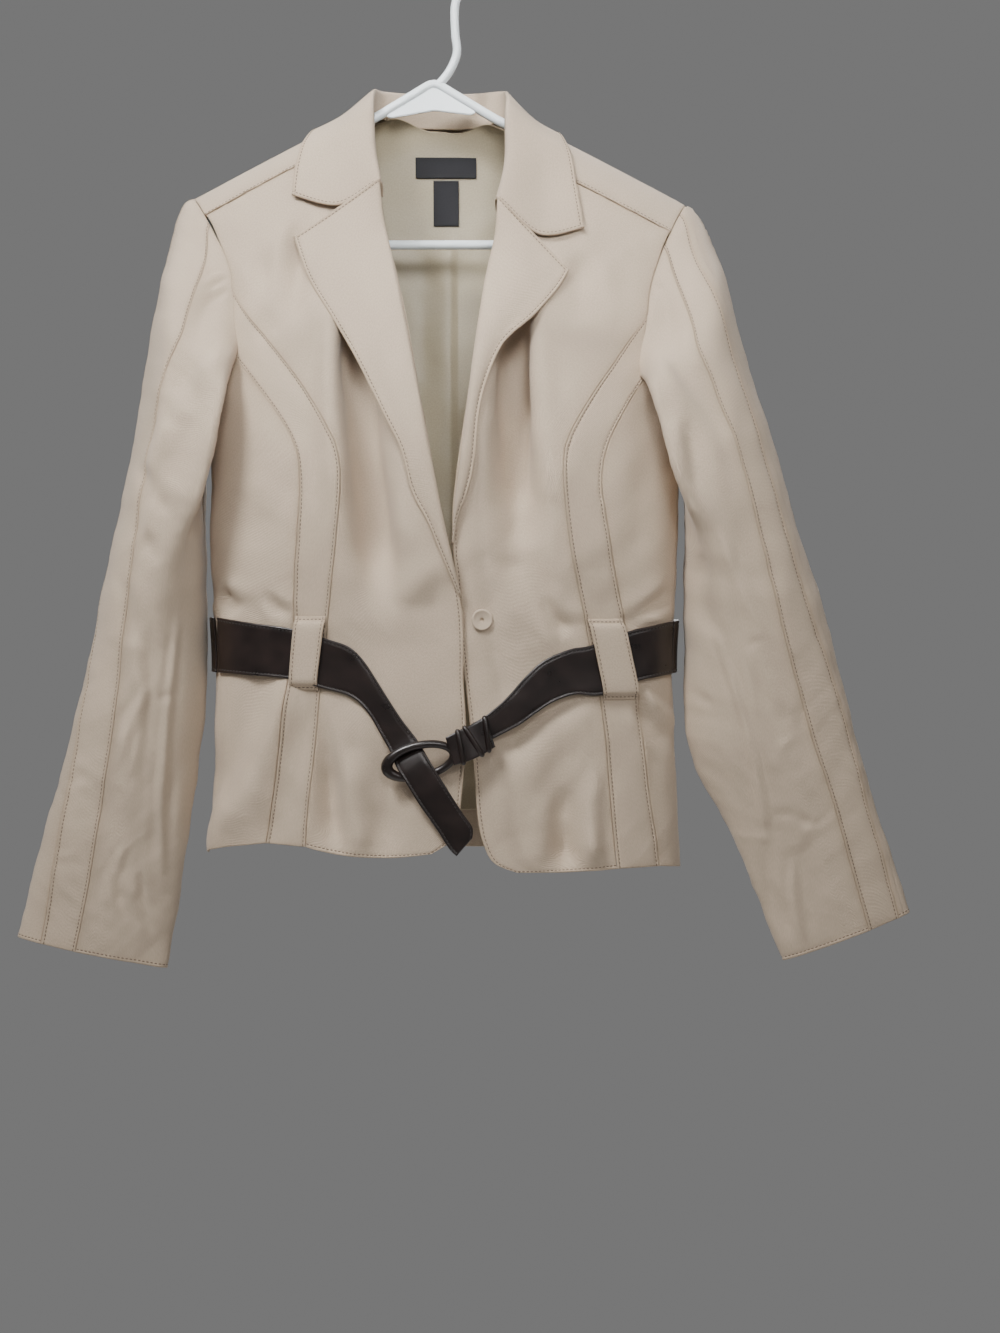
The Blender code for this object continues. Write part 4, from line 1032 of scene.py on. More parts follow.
def collar_surface():
    """Collar from the foot of its stand, v=0, over the fold to the outer edge of the fall, v=1."""
    rows = []
    for row in COLLAR:
        middle = over_point(row.middle_x, row.middle_over)
        edge = over_point(row.edge_x, row.edge_over)
        fold = Vector((row.fold_x, row.fold_y, row.fold))
        middle += over_normal(row.middle_x, row.middle_over) * COLLAR_LIFT[0]
        edge += over_normal(row.edge_x, row.edge_over) * COLLAR_LIFT[1]
        rows.append((row.foot_x, row.foot_y, row.foot, *fold, *middle, *edge))

    def place(u, v):
        values = blend(rows, u * (len(rows) - 1))
        points = [values[start:start + 3] for start in (0, 3, 6, 9)]
        return Vector(blend(points, v * (len(points) - 1)))
    return place


def belt_surface(rows):
    """A stretch of the belt, lifted off the smooth front."""
    def place(u, v):
        upper_x, upper, lower_x, lower, lift = blend(rows, v * (len(rows) - 1))
        point = front_point(mix(upper_x, lower_x, u), mix(upper, lower, u))
        return point + front_normal(point) * (lift + BELT_WALL)
    return place


def front_normal(point):
    """Outward normal of the smooth front at one of its points."""
    angle = angle_at(point.x, point.z)
    along = body_point(angle + STEP, point.z, FRONT) - body_point(angle - STEP, point.z, FRONT)
    down = body_point(angle, point.z - 1, FRONT) - body_point(angle, point.z + 1, FRONT)
    return down.cross(along).normalized()


def belt_back_surface():
    """The belt round the back, from one side front to the other."""
    def place_on_body(u, v):
        turn, upper, lower = blend(BELT_BACK, v * (len(BELT_BACK) - 1))
        turn = math.radians(turn)
        face = FRONT if math.cos(turn) > 0 else BACK
        return body_point(math.asin(math.sin(turn)), mix(upper, lower, u), face)
    return lifted(place_on_body, BELT_BACK_LIFT + BELT_WALL)


def loop_surface(side):
    """Belt loop: a piece of the strip's width that bridges the belt."""
    rows = LOOPS[side]
    sections = FRONT_SECTIONS[side]
    inner = [SeamPoint(row.inner, row.inner_x) for row in sections]
    outer = [SeamPoint(row.outer, row.outer_x) for row in sections]

    def place(u, v):
        height, lift = blend(rows, v * (len(rows) - 1))
        share = LOOP_INSET + u * (1 - 2 * LOOP_INSET)
        x_one = row_at(inner, height).x
        x_two = row_at(outer, height).x
        point = front_point(mix(x_one, x_two, share), height)
        return point + front_normal(point) * (lift + LOOP_WALL)
    return place


def lining_surface(left_x, right_x, top, bottom, depth):
    """A sheet inside the back, at a depth under the outer surface."""
    def on_back(u, v):
        x = mix(left_x, right_x, u)
        rise = LINING_CORNER_RISE * ease(abs(x - CENTRE_BACK_X), *LINING_CORNER)
        start = ridge(x) - LINING_TOP_DROP + rise if top is None else top
        height = mix(start, bottom, v)
        return body_point(angle_at(x, height), height, BACK)
    return lifted(on_back, -depth)


def arc(centre, radius, start, end, steps):
    """Points on an arc in the hanger's plane."""
    points = []
    for step in range(steps + 1):
        angle = start + (end - start) * step / steps
        points.append((centre[0] + radius * math.cos(angle), 0.0, centre[1] + radius * math.sin(angle)))
    return points


def hanger_loop():
    """Centre line of the hanger's frame: two arms under the shoulders and the lower bar."""
    slope = math.atan(RIDGE_SLOPE)
    drop = (TUBE + SHELL + ARM_CLEARANCE) / math.cos(slope)
    start_height = ridge(RIDGE_X + ARM_START) - drop
    end_height = ridge(RIDGE_X + ARM_END) - drop
    middle = (0.5 * (ARM_START + ARM_END), 0.5 * (start_height + end_height))
    half = [(ARM_START, start_height), middle, (ARM_END, end_height)]
    end_centre = (ARM_END - END_SET_BACK, BAR_HEIGHT + END_RADIUS)
    for x, _, height in arc(end_centre, END_RADIUS, *END_ARC, END_STEPS):
        half.append((x, height))
    right_half = [(RIDGE_X + x, 0.0, height) for x, height in half]
    left_half = [(RIDGE_X - x, 0.0, height) for x, height in reversed(half)]
    return [(HANGER_APEX[0], 0.0, HANGER_APEX[1])] + right_half + left_half


def soft_step(value):
    """Zero below zero, one above one, with a soft rise between; for arrays."""
    part = np.clip(value, 0.0, 1.0)
    return part * part * (3 - 2 * part)


def crease_field(x, height, creases):
    """How far creases take the cloth outwards, for arrays of x and height."""
    field = np.zeros_like(x)
    for crease in creases:
        run = crease.end_x - crease.x
        fall = crease.end - crease.height
        length = math.hypot(run, fall)
        along = ((x - crease.x) * run + (height - crease.height) * fall) / length ** 2
        bow = crease.bow * 4 * along * (1 - along)
        off = ((x - crease.x) * fall - (height - crease.height) * run) / length - bow
        width = crease.width * (CREASE_START + CREASE_GROWTH * np.clip(along, 0, 1))
        fade = soft_step((along + CREASE_OVERRUN) / CREASE_FADE)
        fade *= soft_step((1 + CREASE_OVERRUN - along) / CREASE_FADE)
        uneven = 1 + CREASE_UNEVEN * np.sin(CREASE_RIPPLE * along + crease.x)
        middle = np.exp(-(off / width) ** 2)
        beside = np.exp(-((np.abs(off) - 2 * width) / width) ** 2)
        field -= crease.depth * fade * uneven * (middle - CREASE_RISE * beside)
    return field


def waver(points, size):
    """A slow wandering value between about minus one and one, the same for touching pieces."""
    x, y, z = points[..., 0] / size, points[..., 1] / size, points[..., 2] / size
    bent = x + BENT.amount * np.sin(BENT.pace * z + BENT.start) + BENT.depth * y
    risen = z + RISEN.amount * np.sin(RISEN.pace * x + RISEN.start) + RISEN.depth * y
    total = np.zeros_like(x)
    for wave in WAVES:
        total += wave.amount * np.sin(wave.across * bent + wave.along * risen + wave.start)
    return total / sum(wave.amount for wave in WAVES)


def unit(vectors):
    """Vectors scaled to length one."""
    return vectors / np.maximum(np.linalg.norm(vectors, axis=-1, keepdims=True), TINY)


def grid_normals(points, outward):
    """Outward normals of a grid of points."""
    across = np.gradient(points, axis=1)
    along = np.gradient(points, axis=0)
    return unit(np.cross(across, along)) * outward


def edge_distances(points):
    """Distance of every grid point from the four edges, along the cloth."""
    across = np.linalg.norm(np.diff(points, axis=1), axis=-1)
    along = np.linalg.norm(np.diff(points, axis=0), axis=-1)
    first_u = np.concatenate([np.zeros((len(points), 1)), np.cumsum(across, axis=1)], axis=1)
    first_v = np.concatenate([np.zeros((1, points.shape[1])), np.cumsum(along, axis=0)], axis=0)
    return {"u0": first_u, "u1": first_u[:, -1:] - first_u, "v0": first_v, "v1": first_v[-1:] - first_v}


def spaced(length, spacing):
    """Positions from 0 to 1 along a length, with fine ones beside both ends."""
    fine = [step / length for step in FINE if step < FINE_SHARE * length]
    count = max(int((1 - 2 * fine[-1]) * length / spacing), 2)
    middle = np.linspace(fine[-1], 1 - fine[-1], count + 1)
    return np.concatenate([fine[:-1], middle, [1 - step for step in reversed(fine[:-1])]])


def measure(place):
    """Greatest width and length of a surface, from a few lines on it."""
    marks = np.linspace(0, 1, MEASURE_LINES)
    points = np.array([[place(u, v) for u in marks] for v in marks])
    width = np.linalg.norm(np.diff(points, axis=1), axis=-1).sum(axis=1).max()
    length = np.linalg.norm(np.diff(points, axis=0), axis=-1).sum(axis=0).max()
    return width, length


def surface_grid(place, spacing):
    """A surface's points in millimetres on a grid that is fine beside its edges."""
    width, length = measure(place)
    columns = spaced(width, spacing)
    rows = spaced(length, spacing)
    return np.array([[place(u, v) for u in columns] for v in rows])


def place_in_scene(name, data):
    """A new object in the scene."""
    item = bpy.data.objects.new(name, data)
    bpy.context.scene.collection.objects.link(item)
    return item


def new_piece(name, mesh, material, slot):
    """A visible piece of the part: a mesh with its material, riding with the part. The slot is not used."""
    mesh.materials.append(material)
    item = place_in_scene(name, mesh)
    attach(item, "root")
    return item


def smooth_mesh(name, verts, faces):
    """A smooth mesh of points in metres."""
    mesh = bpy.data.meshes.new(name)
    mesh.from_pydata(verts, [], faces)
    mesh.update()
    mesh.shade_smooth()
    return mesh


def mesh_from(name, shape):
    """A mesh of a finished bmesh, which is freed."""
    mesh = bpy.data.meshes.new(name)
    shape.to_mesh(mesh)
    shape.free()
    return mesh


def world_points(points):
    """Millimetres of the tables to metres below the hook, for an array."""
    return (points.reshape(-1, 3) - np.array([0.0, 0.0, HOOK_RISE])) * MM


def grid_faces(rows, columns, start, turned):
    """Quads of a grid of points numbered from start."""
    faces = []
    for row in range(rows - 1):
        for column in range(columns - 1):
            first = start + row * columns + column
            quad = (first, first + 1, first + columns + 1, first + columns)
            faces.append(quad[::-1] if turned else quad)
    return faces


def rim_faces(rows, columns, turned):
    """Quads that join the rims of two grids, the second numbered after the first."""
    loop = list(range(columns))
    loop += [row * columns + columns - 1 for row in range(1, rows)]
    loop += [(rows - 1) * columns + column for column in range(columns - 2, -1, -1)]
    loop += [row * columns for row in range(rows - 2, 0, -1)]
    shift = rows * columns
    faces = []
    for first, second in zip(loop, loop[1:] + loop[:1]):
        quad = (second, first, first + shift, second + shift)
        faces.append(quad[::-1] if turned else quad)
    return faces


def rounded(distances, wall):
    """How far a cut edge is rounded down from each face."""
    nearest = np.minimum.reduce(list(distances.values()))
    part = 1 - np.minimum(nearest / (ROUND_REACH * wall), 1)
    return ROUND_DEPTH * wall * (1 - np.sqrt(np.maximum(1 - part * part, 0)))


def stitch_relief(distances, lines):
    """The sewn line's groove, and the cloth that stands up between it and its edge."""
    relief = np.zeros_like(distances["u0"])
    for edge, inset in lines:
        off = distances[edge] - inset
        relief -= GROOVE * np.exp(-(off / GROOVE_WIDTH) ** 2)
        relief += PUFF * soft_step(0.5 - off / PUFF_FADE)
    return relief


def add_maps(mesh, distances):
    """Cloth coordinates in metres, and how near each point is to a seam, which sets the seam's darkening of
    wear and painted shade.
    """
    across = distances["u0"].ravel() * MM
    along = distances["v0"].ravel() * MM
    nearest = np.minimum.reduce([values.ravel() for values in distances.values()])
    seam = np.exp(-nearest / SEAM_SHADE)
    order = np.empty(len(mesh.loops), dtype=np.int32)
    mesh.loops.foreach_get("vertex_index", order)
    count = len(across)
    flat = np.stack([across[order % count], along[order % count]], axis=1)
    layer = mesh.uv_layers.new(name="cloth")
    layer.uv.foreach_set("vector", flat.astype(np.float32).ravel())
    attribute = mesh.attributes.new("seam", "FLOAT", "POINT")
    attribute.data.foreach_set("value", np.concatenate([seam, seam]).astype(np.float32))


def line_on_grid(outer, normals, distances, edge, inset):
    """Points and normals at one distance from an edge of a grid."""
    values = distances[edge]
    if edge in ("v0", "v1"):
        outer, normals, values = outer.transpose(1, 0, 2), normals.transpose(1, 0, 2), values.T
    if edge in ("u1", "v1"):
        outer, normals, values = outer[:, ::-1], normals[:, ::-1], values[:, ::-1]
    points = []
    ups = []
    for row, up, value in zip(outer, normals, values):
        points.append([np.interp(inset, value, row[:, axis]) for axis in range(3)])
        ups.append([np.interp(inset, value, up[:, axis]) for axis in range(3)])
    return np.array(points), np.array(ups)


def stitches_along(points, ups):
    """Stitches evenly spaced along points: each a middle, a direction and an up vector."""
    steps = np.linalg.norm(np.diff(points, axis=0), axis=1)
    run = np.concatenate([[0.0], np.cumsum(steps)])
    count = max(int(run[-1] / STITCH_PITCH), 1)
    marks = (np.arange(count) + 0.5) * run[-1] / count
    half = 0.5 * STITCH_LENGTH

    def at(values, places):
        return np.stack([np.interp(places, run, values[:, axis]) for axis in range(3)], axis=1)
    heads = at(points, np.minimum(marks + half, run[-1]))
    tails = at(points, np.maximum(marks - half, 0.0))
    return list(zip(0.5 * (heads + tails), unit(heads - tails), unit(at(ups, marks))))


def add_threads(name, threads, material, slot):
    """Sewn stitches as small rounded threads, joined into one piece."""
    verts = []
    faces = []
    turns = np.linspace(0, 2 * np.pi, STITCH_SIDES, endpoint=False)
    for middle, direction, up in threads:
        beside = np.cross(direction, up)
        start = len(verts)
        for place, share in STITCH_RINGS:
            ring = middle + direction * place * 0.5 * STITCH_LENGTH
            if share == 0.0:
                verts.append(ring - up * STITCH_SINK * STITCH_RADIUS)
                continue
            for turn in turns:
                side = beside * math.cos(turn) + up * math.sin(turn)
                verts.append(ring + side * share * STITCH_RADIUS)
        faces += thread_faces(start)
    mesh = smooth_mesh(name, world_points(np.array(verts)).tolist(), faces)
    return new_piece(name, mesh, material, slot)


def thread_faces(start):
    """Faces of one stitch whose first end is numbered start."""
    faces = []
    rings = len(STITCH_RINGS) - 2
    last = start + 1 + rings * STITCH_SIDES
    for side in range(STITCH_SIDES):
        beside = (side + 1) % STITCH_SIDES
        faces.append((start, start + 1 + beside, start + 1 + side))
        for ring in range(rings - 1):
            low = start + 1 + ring * STITCH_SIDES
            high = low + STITCH_SIDES
            faces.append((low + side, low + beside, high + beside, high + side))
        high = start + 1 + (rings - 1) * STITCH_SIDES
        faces.append((high + side, high + beside, last))
    return faces


def set_values(node, values):
    """Gives a node's named inputs their values."""
    for name, value in values.items():
        node.inputs[name].default_value = value


def new_node(tree, kind, values):
    """A new node whose named inputs have these values."""
    node = tree.nodes.new(kind)
    set_values(node, values)
    return node


def node_material(name, base, roughness):
    """A material with its shader and node tree at hand."""
    material = bpy.data.materials.new(name)
    material.use_nodes = True
    shader = material.node_tree.nodes["Principled BSDF"]
    set_values(shader, {"Base Color": (*base, 1.0), "Roughness": roughness})
    return material, shader, material.node_tree


def link(tree, source, output, target, entry):
    """Joins two nodes' sockets."""
    tree.links.new(source.outputs[output], target.inputs[entry])


def noise_node(tree, coordinates, scale, detail, output="UV"):
    """A noise texture on a mesh's own coordinates."""
    noise = new_node(tree, "ShaderNodeTexNoise", {"Scale": scale, "Detail": detail})
    link(tree, coordinates, output, noise, "Vector")
    return noise


def colour_ramp(tree, source, output, stops):
    """A colour for each stop of a value."""
    ramp = tree.nodes.new("ShaderNodeValToRGB")
    while len(ramp.color_ramp.elements) < len(stops):
        ramp.color_ramp.elements.new(0.5)
    for element, (position, colour) in zip(ramp.color_ramp.elements, stops):
        element.position = position
        element.color = (*colour, 1.0)
    link(tree, source, output, ramp, "Fac")
    return ramp


def mixed(tree, kind, factor, first, second):
    """A mix of two colour sockets."""
    node = new_node(tree, "ShaderNodeMix", {"Factor": factor})
    node.data_type = "RGBA"
    node.blend_type = kind
    tree.links.new(first, node.inputs["A"])
    tree.links.new(second, node.inputs["B"])
    return node


def shade(colour, amount):
    """A colour made lighter or darker."""
    return tuple(min(value * amount, 1.0) for value in colour)


def relief_from(tree, shader, source, output, strength, distance):
    """Relief on a shader from another node's output."""
    relief = new_node(tree, "ShaderNodeBump", {"Strength": strength, "Distance": distance})
    link(tree, source, output, relief, "Height")
    link(tree, relief, "Normal", shader, "Normal")


def cloth_material(name, base, roughness, sheen, weave_scale, relief):
    """Woven cloth: twill lines, slubs, uneven dye, and a little darkening along seams, partly wear and
    partly painted shade.
    """
    material, shader, tree = node_material(name, base, roughness)
    set_values(shader, {"Sheen Weight": sheen, "Sheen Roughness": 0.5, "Specular IOR Level": 0.3})
    coordinates = tree.nodes.new("ShaderNodeTexCoord")
    dye = noise_node(tree, coordinates, scale=9.0, detail=3.0)
    tone = colour_ramp(tree, dye, "Fac", [(0.3, shade(base, 0.93)), (0.7, shade(base, 1.06))])
    slub = noise_node(tree, coordinates, scale=700.0, detail=2.0)
    grain = colour_ramp(tree, slub, "Fac", [(0.3, SLUB_COLOUR), (0.7, WHITE)])
    woven = mixed(tree, "MULTIPLY", 1.0, tone.outputs["Color"], grain.outputs["Color"])
    # Darkening along seams, partly wear and partly painted shade
    seam = tree.nodes.new("ShaderNodeAttribute")
    seam.attribute_name = "seam"
    seam_wear_and_shade = colour_ramp(tree, seam, "Fac", [(0.0, WHITE), (1.0, SEAM_WEAR_AND_SHADE_COLOUR)])
    final = mixed(tree, "MULTIPLY", 1.0, woven.outputs["Result"], seam_wear_and_shade.outputs["Color"])
    link(tree, final, "Result", shader, "Base Color")
    twill = new_node(tree, "ShaderNodeTexWave", {"Scale": weave_scale, "Distortion": 1.2})
    twill.bands_direction = "DIAGONAL"
    link(tree, coordinates, "UV", twill, "Vector")
    threads = mixed(tree, "ADD", 0.5, twill.outputs["Color"], slub.outputs["Color"])
    relief_from(tree, shader, threads, "Result", strength=relief, distance=0.0003)
    return material


def rubbed_material(name, base, roughness, noise, tones, gloss):
    """A solid material whose colour and gloss wander with a noise, and its nodes."""
    material, shader, tree = node_material(name, base, roughness)
    coordinates = tree.nodes.new("ShaderNodeTexCoord")
    rub = noise_node(tree, coordinates, *noise, "Object")
    tone = colour_ramp(tree, rub, "Fac", [(place, shade(base, amount)) for place, amount in tones])
    link(tree, tone, "Color", shader, "Base Color")
    spread = new_node(tree, "ShaderNodeMapRange", {"To Min": gloss[0], "To Max": gloss[1]})
    link(tree, rub, "Fac", spread, "Value")
    link(tree, spread, "Result", shader, "Roughness")
    return material, shader, tree, coordinates


def leather_material(name, base):
    """Polished leather with fine grain and worn gloss."""
    material, shader, tree, coordinates = rubbed_material(
        name, base, roughness=0.3, noise=(60.0, 4.0), tones=[(0.3, 0.7), (0.75, 1.7)], gloss=(0.22, 0.4))
    set_values(shader, {"Specular IOR Level": 0.6})
    grain = new_node(tree, "ShaderNodeTexVoronoi", {"Scale": 1400.0})
    link(tree, coordinates, "Object", grain, "Vector")
    relief_from(tree, shader, grain, "Distance", strength=0.16, distance=0.0002)
    return material


def plastic_material(name, base):
    """Moulded plastic with faint flow marks."""
    return rubbed_material(name, base, roughness=0.28, noise=(25.0, 2.0), tones=[(0.3, 0.96), (0.7, 1.03)],
                           gloss=(0.22, 0.36))[0]


CLOTH = cloth_material("twill", (0.55, 0.437, 0.328), roughness=0.72, sheen=0.15, weave_scale=520.0,
                       relief=0.6)
SATIN = cloth_material("satin", (0.42, 0.36, 0.25), roughness=0.42, sheen=0.1, weave_scale=900.0,
                       relief=0.06)
LABEL = cloth_material("label_weave", (0.012, 0.012, 0.016), roughness=0.65, sheen=0.15, weave_scale=420.0,
                       relief=0.3)
# The topstitching thread matches the cloth; its darker colour here is painted shade of the stitch holes and
# grooves
THREAD = cloth_material("thread", (0.15, 0.11, 0.078), roughness=0.7, sheen=0.05, weave_scale=900.0,
                        relief=0.1)
LEATHER = leather_material("belt_leather", (0.011, 0.0062, 0.0052))
DARK_THREAD = cloth_material("dark_thread", (0.045, 0.038, 0.036), roughness=0.5, sheen=0.1,
                             weave_scale=900.0, relief=0.1)
PLASTIC = plastic_material("hanger_plastic", (0.80, 0.86, 0.885))
# Material and thread of each slot's sheets
FABRICS = {
    "shell_cloth": (CLOTH, THREAD),
    "lining_satin": (SATIN, None),
    "label_cloth": (LABEL, None),
    "belt_leather": (LEATHER, DARK_THREAD),
}


def facing(normals):
    """How much each point faces the front, and how much the back."""
    return soft_step(-FACING * normals[..., 1]), soft_step(FACING * normals[..., 1])


def crumple(points, kind):
    """Slow and small unevenness of the body's or a sleeve's cloth."""
    return SLOW_AMOUNT * waver(points, SLOW_SIZE) + SMALL_AMOUNT[kind] * waver(points, SMALL_SIZE)


def body_field(points, normals):
    """Creases and unevenness of the body's cloth."""
    x, height = points[..., 0], points[..., 2]
    front, back = facing(normals)
    field = FRONT_DEPTH * crease_field(x, height, FRONT_CREASES) * front
    field += crease_field(x, height, BACK_CREASES) * back
    field += crumple(points, "body")
    return field * soft_step((BODY_FIELD_TOP - height) / SET_IN)


def sleeve_field(side):
    """Creases and crumples of a sleeve; its back takes the other sleeve's, turned over."""
    turned = [crease._replace(x=-crease.x, end_x=-crease.end_x, bow=-crease.bow)
              for crease in SLEEVE_CREASES[-side]]

    def field(points, normals):
        x, height = points[..., 0], points[..., 2]
        front, back = facing(normals)
        total = crease_field(x, height, SLEEVE_CREASES[side]) * front
        total += crease_field(x, height, turned) * back
        away = soft_step(np.linalg.norm(points - points[:1], axis=-1) / SEAM_FADE)
        return (total + crumple(points, "sleeve")) * away
    return field


def lapel_field(points, _):
    """The lapel's roll: beside the roll line it turns down to the front."""
    off = np.linalg.norm(points - points[:, :1], axis=-1)
    part = np.clip(1 - off / ROLL_WIDTH, 0, 1)
    roll = ROLL_DROP * (1 - np.sqrt(1 - part * part))
    return SMALL_AMOUNT["body"] * waver(points, SLOW_SIZE) - roll


def lining_field(points, normals):
    """The back's creases, which the lining follows, and its own pleat."""
    x, height = points[..., 0], points[..., 2]
    edge = soft_step((PLEAT_X - x) / PLEAT_SOFT) * soft_step((x - PLEAT_X + PLEAT_WIDTH) / PLEAT_FADE)
    pleat = PLEAT_DEPTH * edge * soft_step((PLEAT_TOP - height) / PLEAT_SET_IN)
    return body_field(points, normals) - pleat


def raised_hem(place):
    """A surface whose lower edge is drawn up a little."""
    def raised(u, v):
        point = place(u, v)
        return point + Vector((0, 0, HEM_RAISE * ease(point.z, *HEM_RAISE_FROM)))
    return raised


def add_cloth(made, node, place, wall, outward, field=None, lines=(), spacing=SPACING, slot="shell_cloth"):
    """A closed sheet on a surface, with creases, rounded edges and its stitching."""
    points = surface_grid(place, spacing)
    rows, columns = points.shape[:2]
    normals = grid_normals(points, outward)
    if field is not None:
        points = points + normals * field(points, normals)[..., None]
        normals = grid_normals(points, outward)
    distances = edge_distances(points)
    fall = rounded(distances, wall)
    outer = points + normals * (stitch_relief(distances, lines) - fall)[..., None]
    inner = points - normals * (wall - fall)[..., None]
    turned = outward < 0
    verts = np.concatenate([world_points(outer), world_points(inner)])
    faces = grid_faces(rows, columns, 0, turned)
    faces += grid_faces(rows, columns, rows * columns, not turned)
    faces += rim_faces(rows, columns, turned)
    material, thread = FABRICS[slot]
    name = node + "_cloth"
    item = new_piece(name, smooth_mesh(name, verts.tolist(), faces), material, slot)
    add_maps(item.data, distances)
    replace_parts(item, node)
    stitches = []
    for edge, inset in lines:
        stitches += stitches_along(*line_on_grid(outer, normals, distances, edge, inset))
    sewn = [add_threads(node + "_stitches", stitches, thread, slot)] if stitches else []
    made.append((node, item, sewn))


def dress_body(made, side):
    """Front, strip, side front, back, lapel and belt loop of one side."""
    back = raised_hem(back_surface(side))
    pieces = [
        ("front_", front_surface(side), SHELL, -side, body_field, SEWN_FRONT, SPACING),
        ("strip_", strip_surface(side), SHELL, -side, body_field, SEWN_SIDES, SPACING),
        ("side_", side_surface(side), SHELL, -side, body_field, [], SPACING),
        ("back_", back, SHELL, side, body_field, SEWN_BACK, BACK_SPACING),
        ("lapel_", lapel_surface(side), LAPEL_WALL, -side, lapel_field, SEWN_LAPEL, SPACING),
        ("loop_", loop_surface(side), LOOP_WALL, -side, None, SEWN_LOOP, SPACING),
    ]
    for kind, *piece in pieces:
        add_cloth(made, kind + SIDE_NAMES[side], *piece)


def dress_sleeve(made, side):
    """The four pieces of a sleeve."""
    front_seam = sleeve_seam(side, 0)
    back_seam = sleeve_seam(side, 1)

    def underarm(_):
        return UNDERARM_TURN

    def elbow(_):
        return ELBOW_TURN

    def back_seam_round(position):
        return 360 + back_seam(position)

    field = sleeve_field(side)
    pieces = [
        ("sleeve_front_", front_seam, underarm, SEWN_HEM, SPACING),
        ("sleeve_strip_", back_seam, front_seam, SEWN_SIDES, SPACING),
        ("sleeve_under_", underarm, elbow, SEWN_HEM, BACK_SPACING),
        ("sleeve_back_", elbow, back_seam_round, SEWN_HEM, BACK_SPACING),
    ]
    for kind, first, second, lines, spacing in pieces:
        place = sleeve_surface(side, first, second)
        add_cloth(made, kind + SIDE_NAMES[side], place, SHELL, side, field, lines, spacing)


def dress_inside(made):
    """Collar, lining and labels."""
    add_cloth(made, "collar", collar_surface(), COLLAR_WALL, 1, None, SEWN_COLLAR)
    depth = SHELL + LINING_EASE
    lining = lining_surface(-LINING_HALF_WIDTH, LINING_HALF_WIDTH, None, LINING_BOTTOM, depth)
    add_cloth(made, "lining_back", lining, LINING_WALL, 1, lining_field, slot="lining_satin")
    depth += LINING_WALL + LABEL_LIFT
    for node, label in (("label_neck", LABEL_NECK), ("label_size", LABEL_SIZE)):
        patch = lining_surface(*label, depth)
        add_cloth(made, node, patch, LABEL_WALL, 1, lining_field, spacing=LABEL_SPACING, slot="label_cloth")


def dress_belt(made):
    """The leather stretches and the wrap."""
    stretches = [
        ("belt_right", belt_surface(BELT_RIGHT), BELT_WALL, 1, SEWN_SIDES),
        ("belt_left", belt_surface(BELT_LEFT), BELT_WALL, -1, SEWN_SIDES),
        ("belt_back", belt_back_surface(), BELT_WALL, 1, SEWN_SIDES),
        ("belt_wrap", belt_surface(BELT_WRAP), WRAP_WALL, -1, []),
    ]
    for node, place, wall, outward, lines in stretches:
        add_cloth(made, node, place, wall, outward, None, lines, BELT_SPACING, "belt_leather")


def tube_piece(name, points, radius, closed, material, slot, swell=None):
    """A smooth tube along points in millimetres; swell gives each point its share of the radius."""
    curve = bpy.data.curves.new(name, "CURVE")
    curve.dimensions = "3D"
    curve.bevel_depth = radius * MM
    curve.bevel_resolution = TUBE_RESOLUTION
    curve.use_fill_caps = not closed
    spline = curve.splines.new("POLY")
    spline.points.add(len(points) - 1)
    spline.use_cyclic_u = closed
    for target, point, share in zip(spline.points, points, swell or [1.0] * len(points)):
        target.co = (*to_world(point), 1.0)
        target.radius = share
    shape = place_in_scene(name + "_line", curve)
    evaluated = shape.evaluated_get(bpy.context.evaluated_depsgraph_get())
    mesh = bpy.data.meshes.new_from_object(evaluated)
    bpy.data.objects.remove(shape)
    solid = bmesh.new()
    solid.from_mesh(mesh)
    bmesh.ops.remove_doubles(solid, verts=solid.verts, dist=WELD)
    bmesh.ops.recalc_face_normals(solid, faces=solid.faces)
    solid.to_mesh(mesh)
    solid.free()
    mesh.shade_smooth()
    mesh.set_sharp_from_angle(angle=SHARP_ANGLE)
    mesh.materials.clear()
    return new_piece(name, mesh, material, slot)


def smooth_line(points, steps):
    """More points on a smooth curve through points."""
    count = (len(points) - 1) * steps
    return [blend(points, step / steps) for step in range(count)] + [points[-1]]


def dress_buckle():
    """The covered oval ring."""
    points = []
    swell = []
    for step in range(RING_STEPS):
        angle = 2 * math.pi * step / RING_STEPS
        long_part = RING_HALF_LENGTH * math.cos(angle)
        short_part = RING_HALF_WIDTH * math.sin(angle)
        x = long_part * math.cos(RING_SLANT) - short_part * math.sin(RING_SLANT)
        height = long_part * math.sin(RING_SLANT) + short_part * math.cos(RING_SLANT)
        y = RING_CENTRE[1] - RING_LEAN * math.sin(angle)
        points.append((RING_CENTRE[0] + x, y, RING_CENTRE[2] + height))
        swell.append(1 + (RING_SWELL - 1) * max(-math.cos(angle), 0.0) ** 3)
    ring = tube_piece("buckle_ring", points, RING_TUBE, True, LEATHER, "belt_leather", swell)
    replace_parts(ring, "buckle")


def dress_knot():
    """Loops of thong wound round the belt's wrap."""
    place = belt_surface(BELT_WRAP)
    for index, (position, lean) in enumerate(KNOT_LOOPS):
        upper = place(0.0, position)
        lower = place(1.0, position)
        along = (place(0.5, position + KNOT_REACH) - place(0.5, position - KNOT_REACH)).normalized()
        across = 0.5 * (lower - upper)
        outward = front_normal(upper)
        middle = 0.5 * (upper + lower) - outward * 0.5 * WRAP_WALL
        points = []
        for step in range(KNOT_STEPS):
            turn = 2 * math.pi * step / KNOT_STEPS
            point = middle + across * KNOT_WIDTH * math.cos(turn) + along * lean * math.cos(turn)
            points.append(point + outward * (0.5 * WRAP_WALL + KNOT_LIFT) * math.sin(turn))
        tube_piece(f"belt_knot_{index}", points, KNOT_RADIUS, True, LEATHER, "belt_leather")


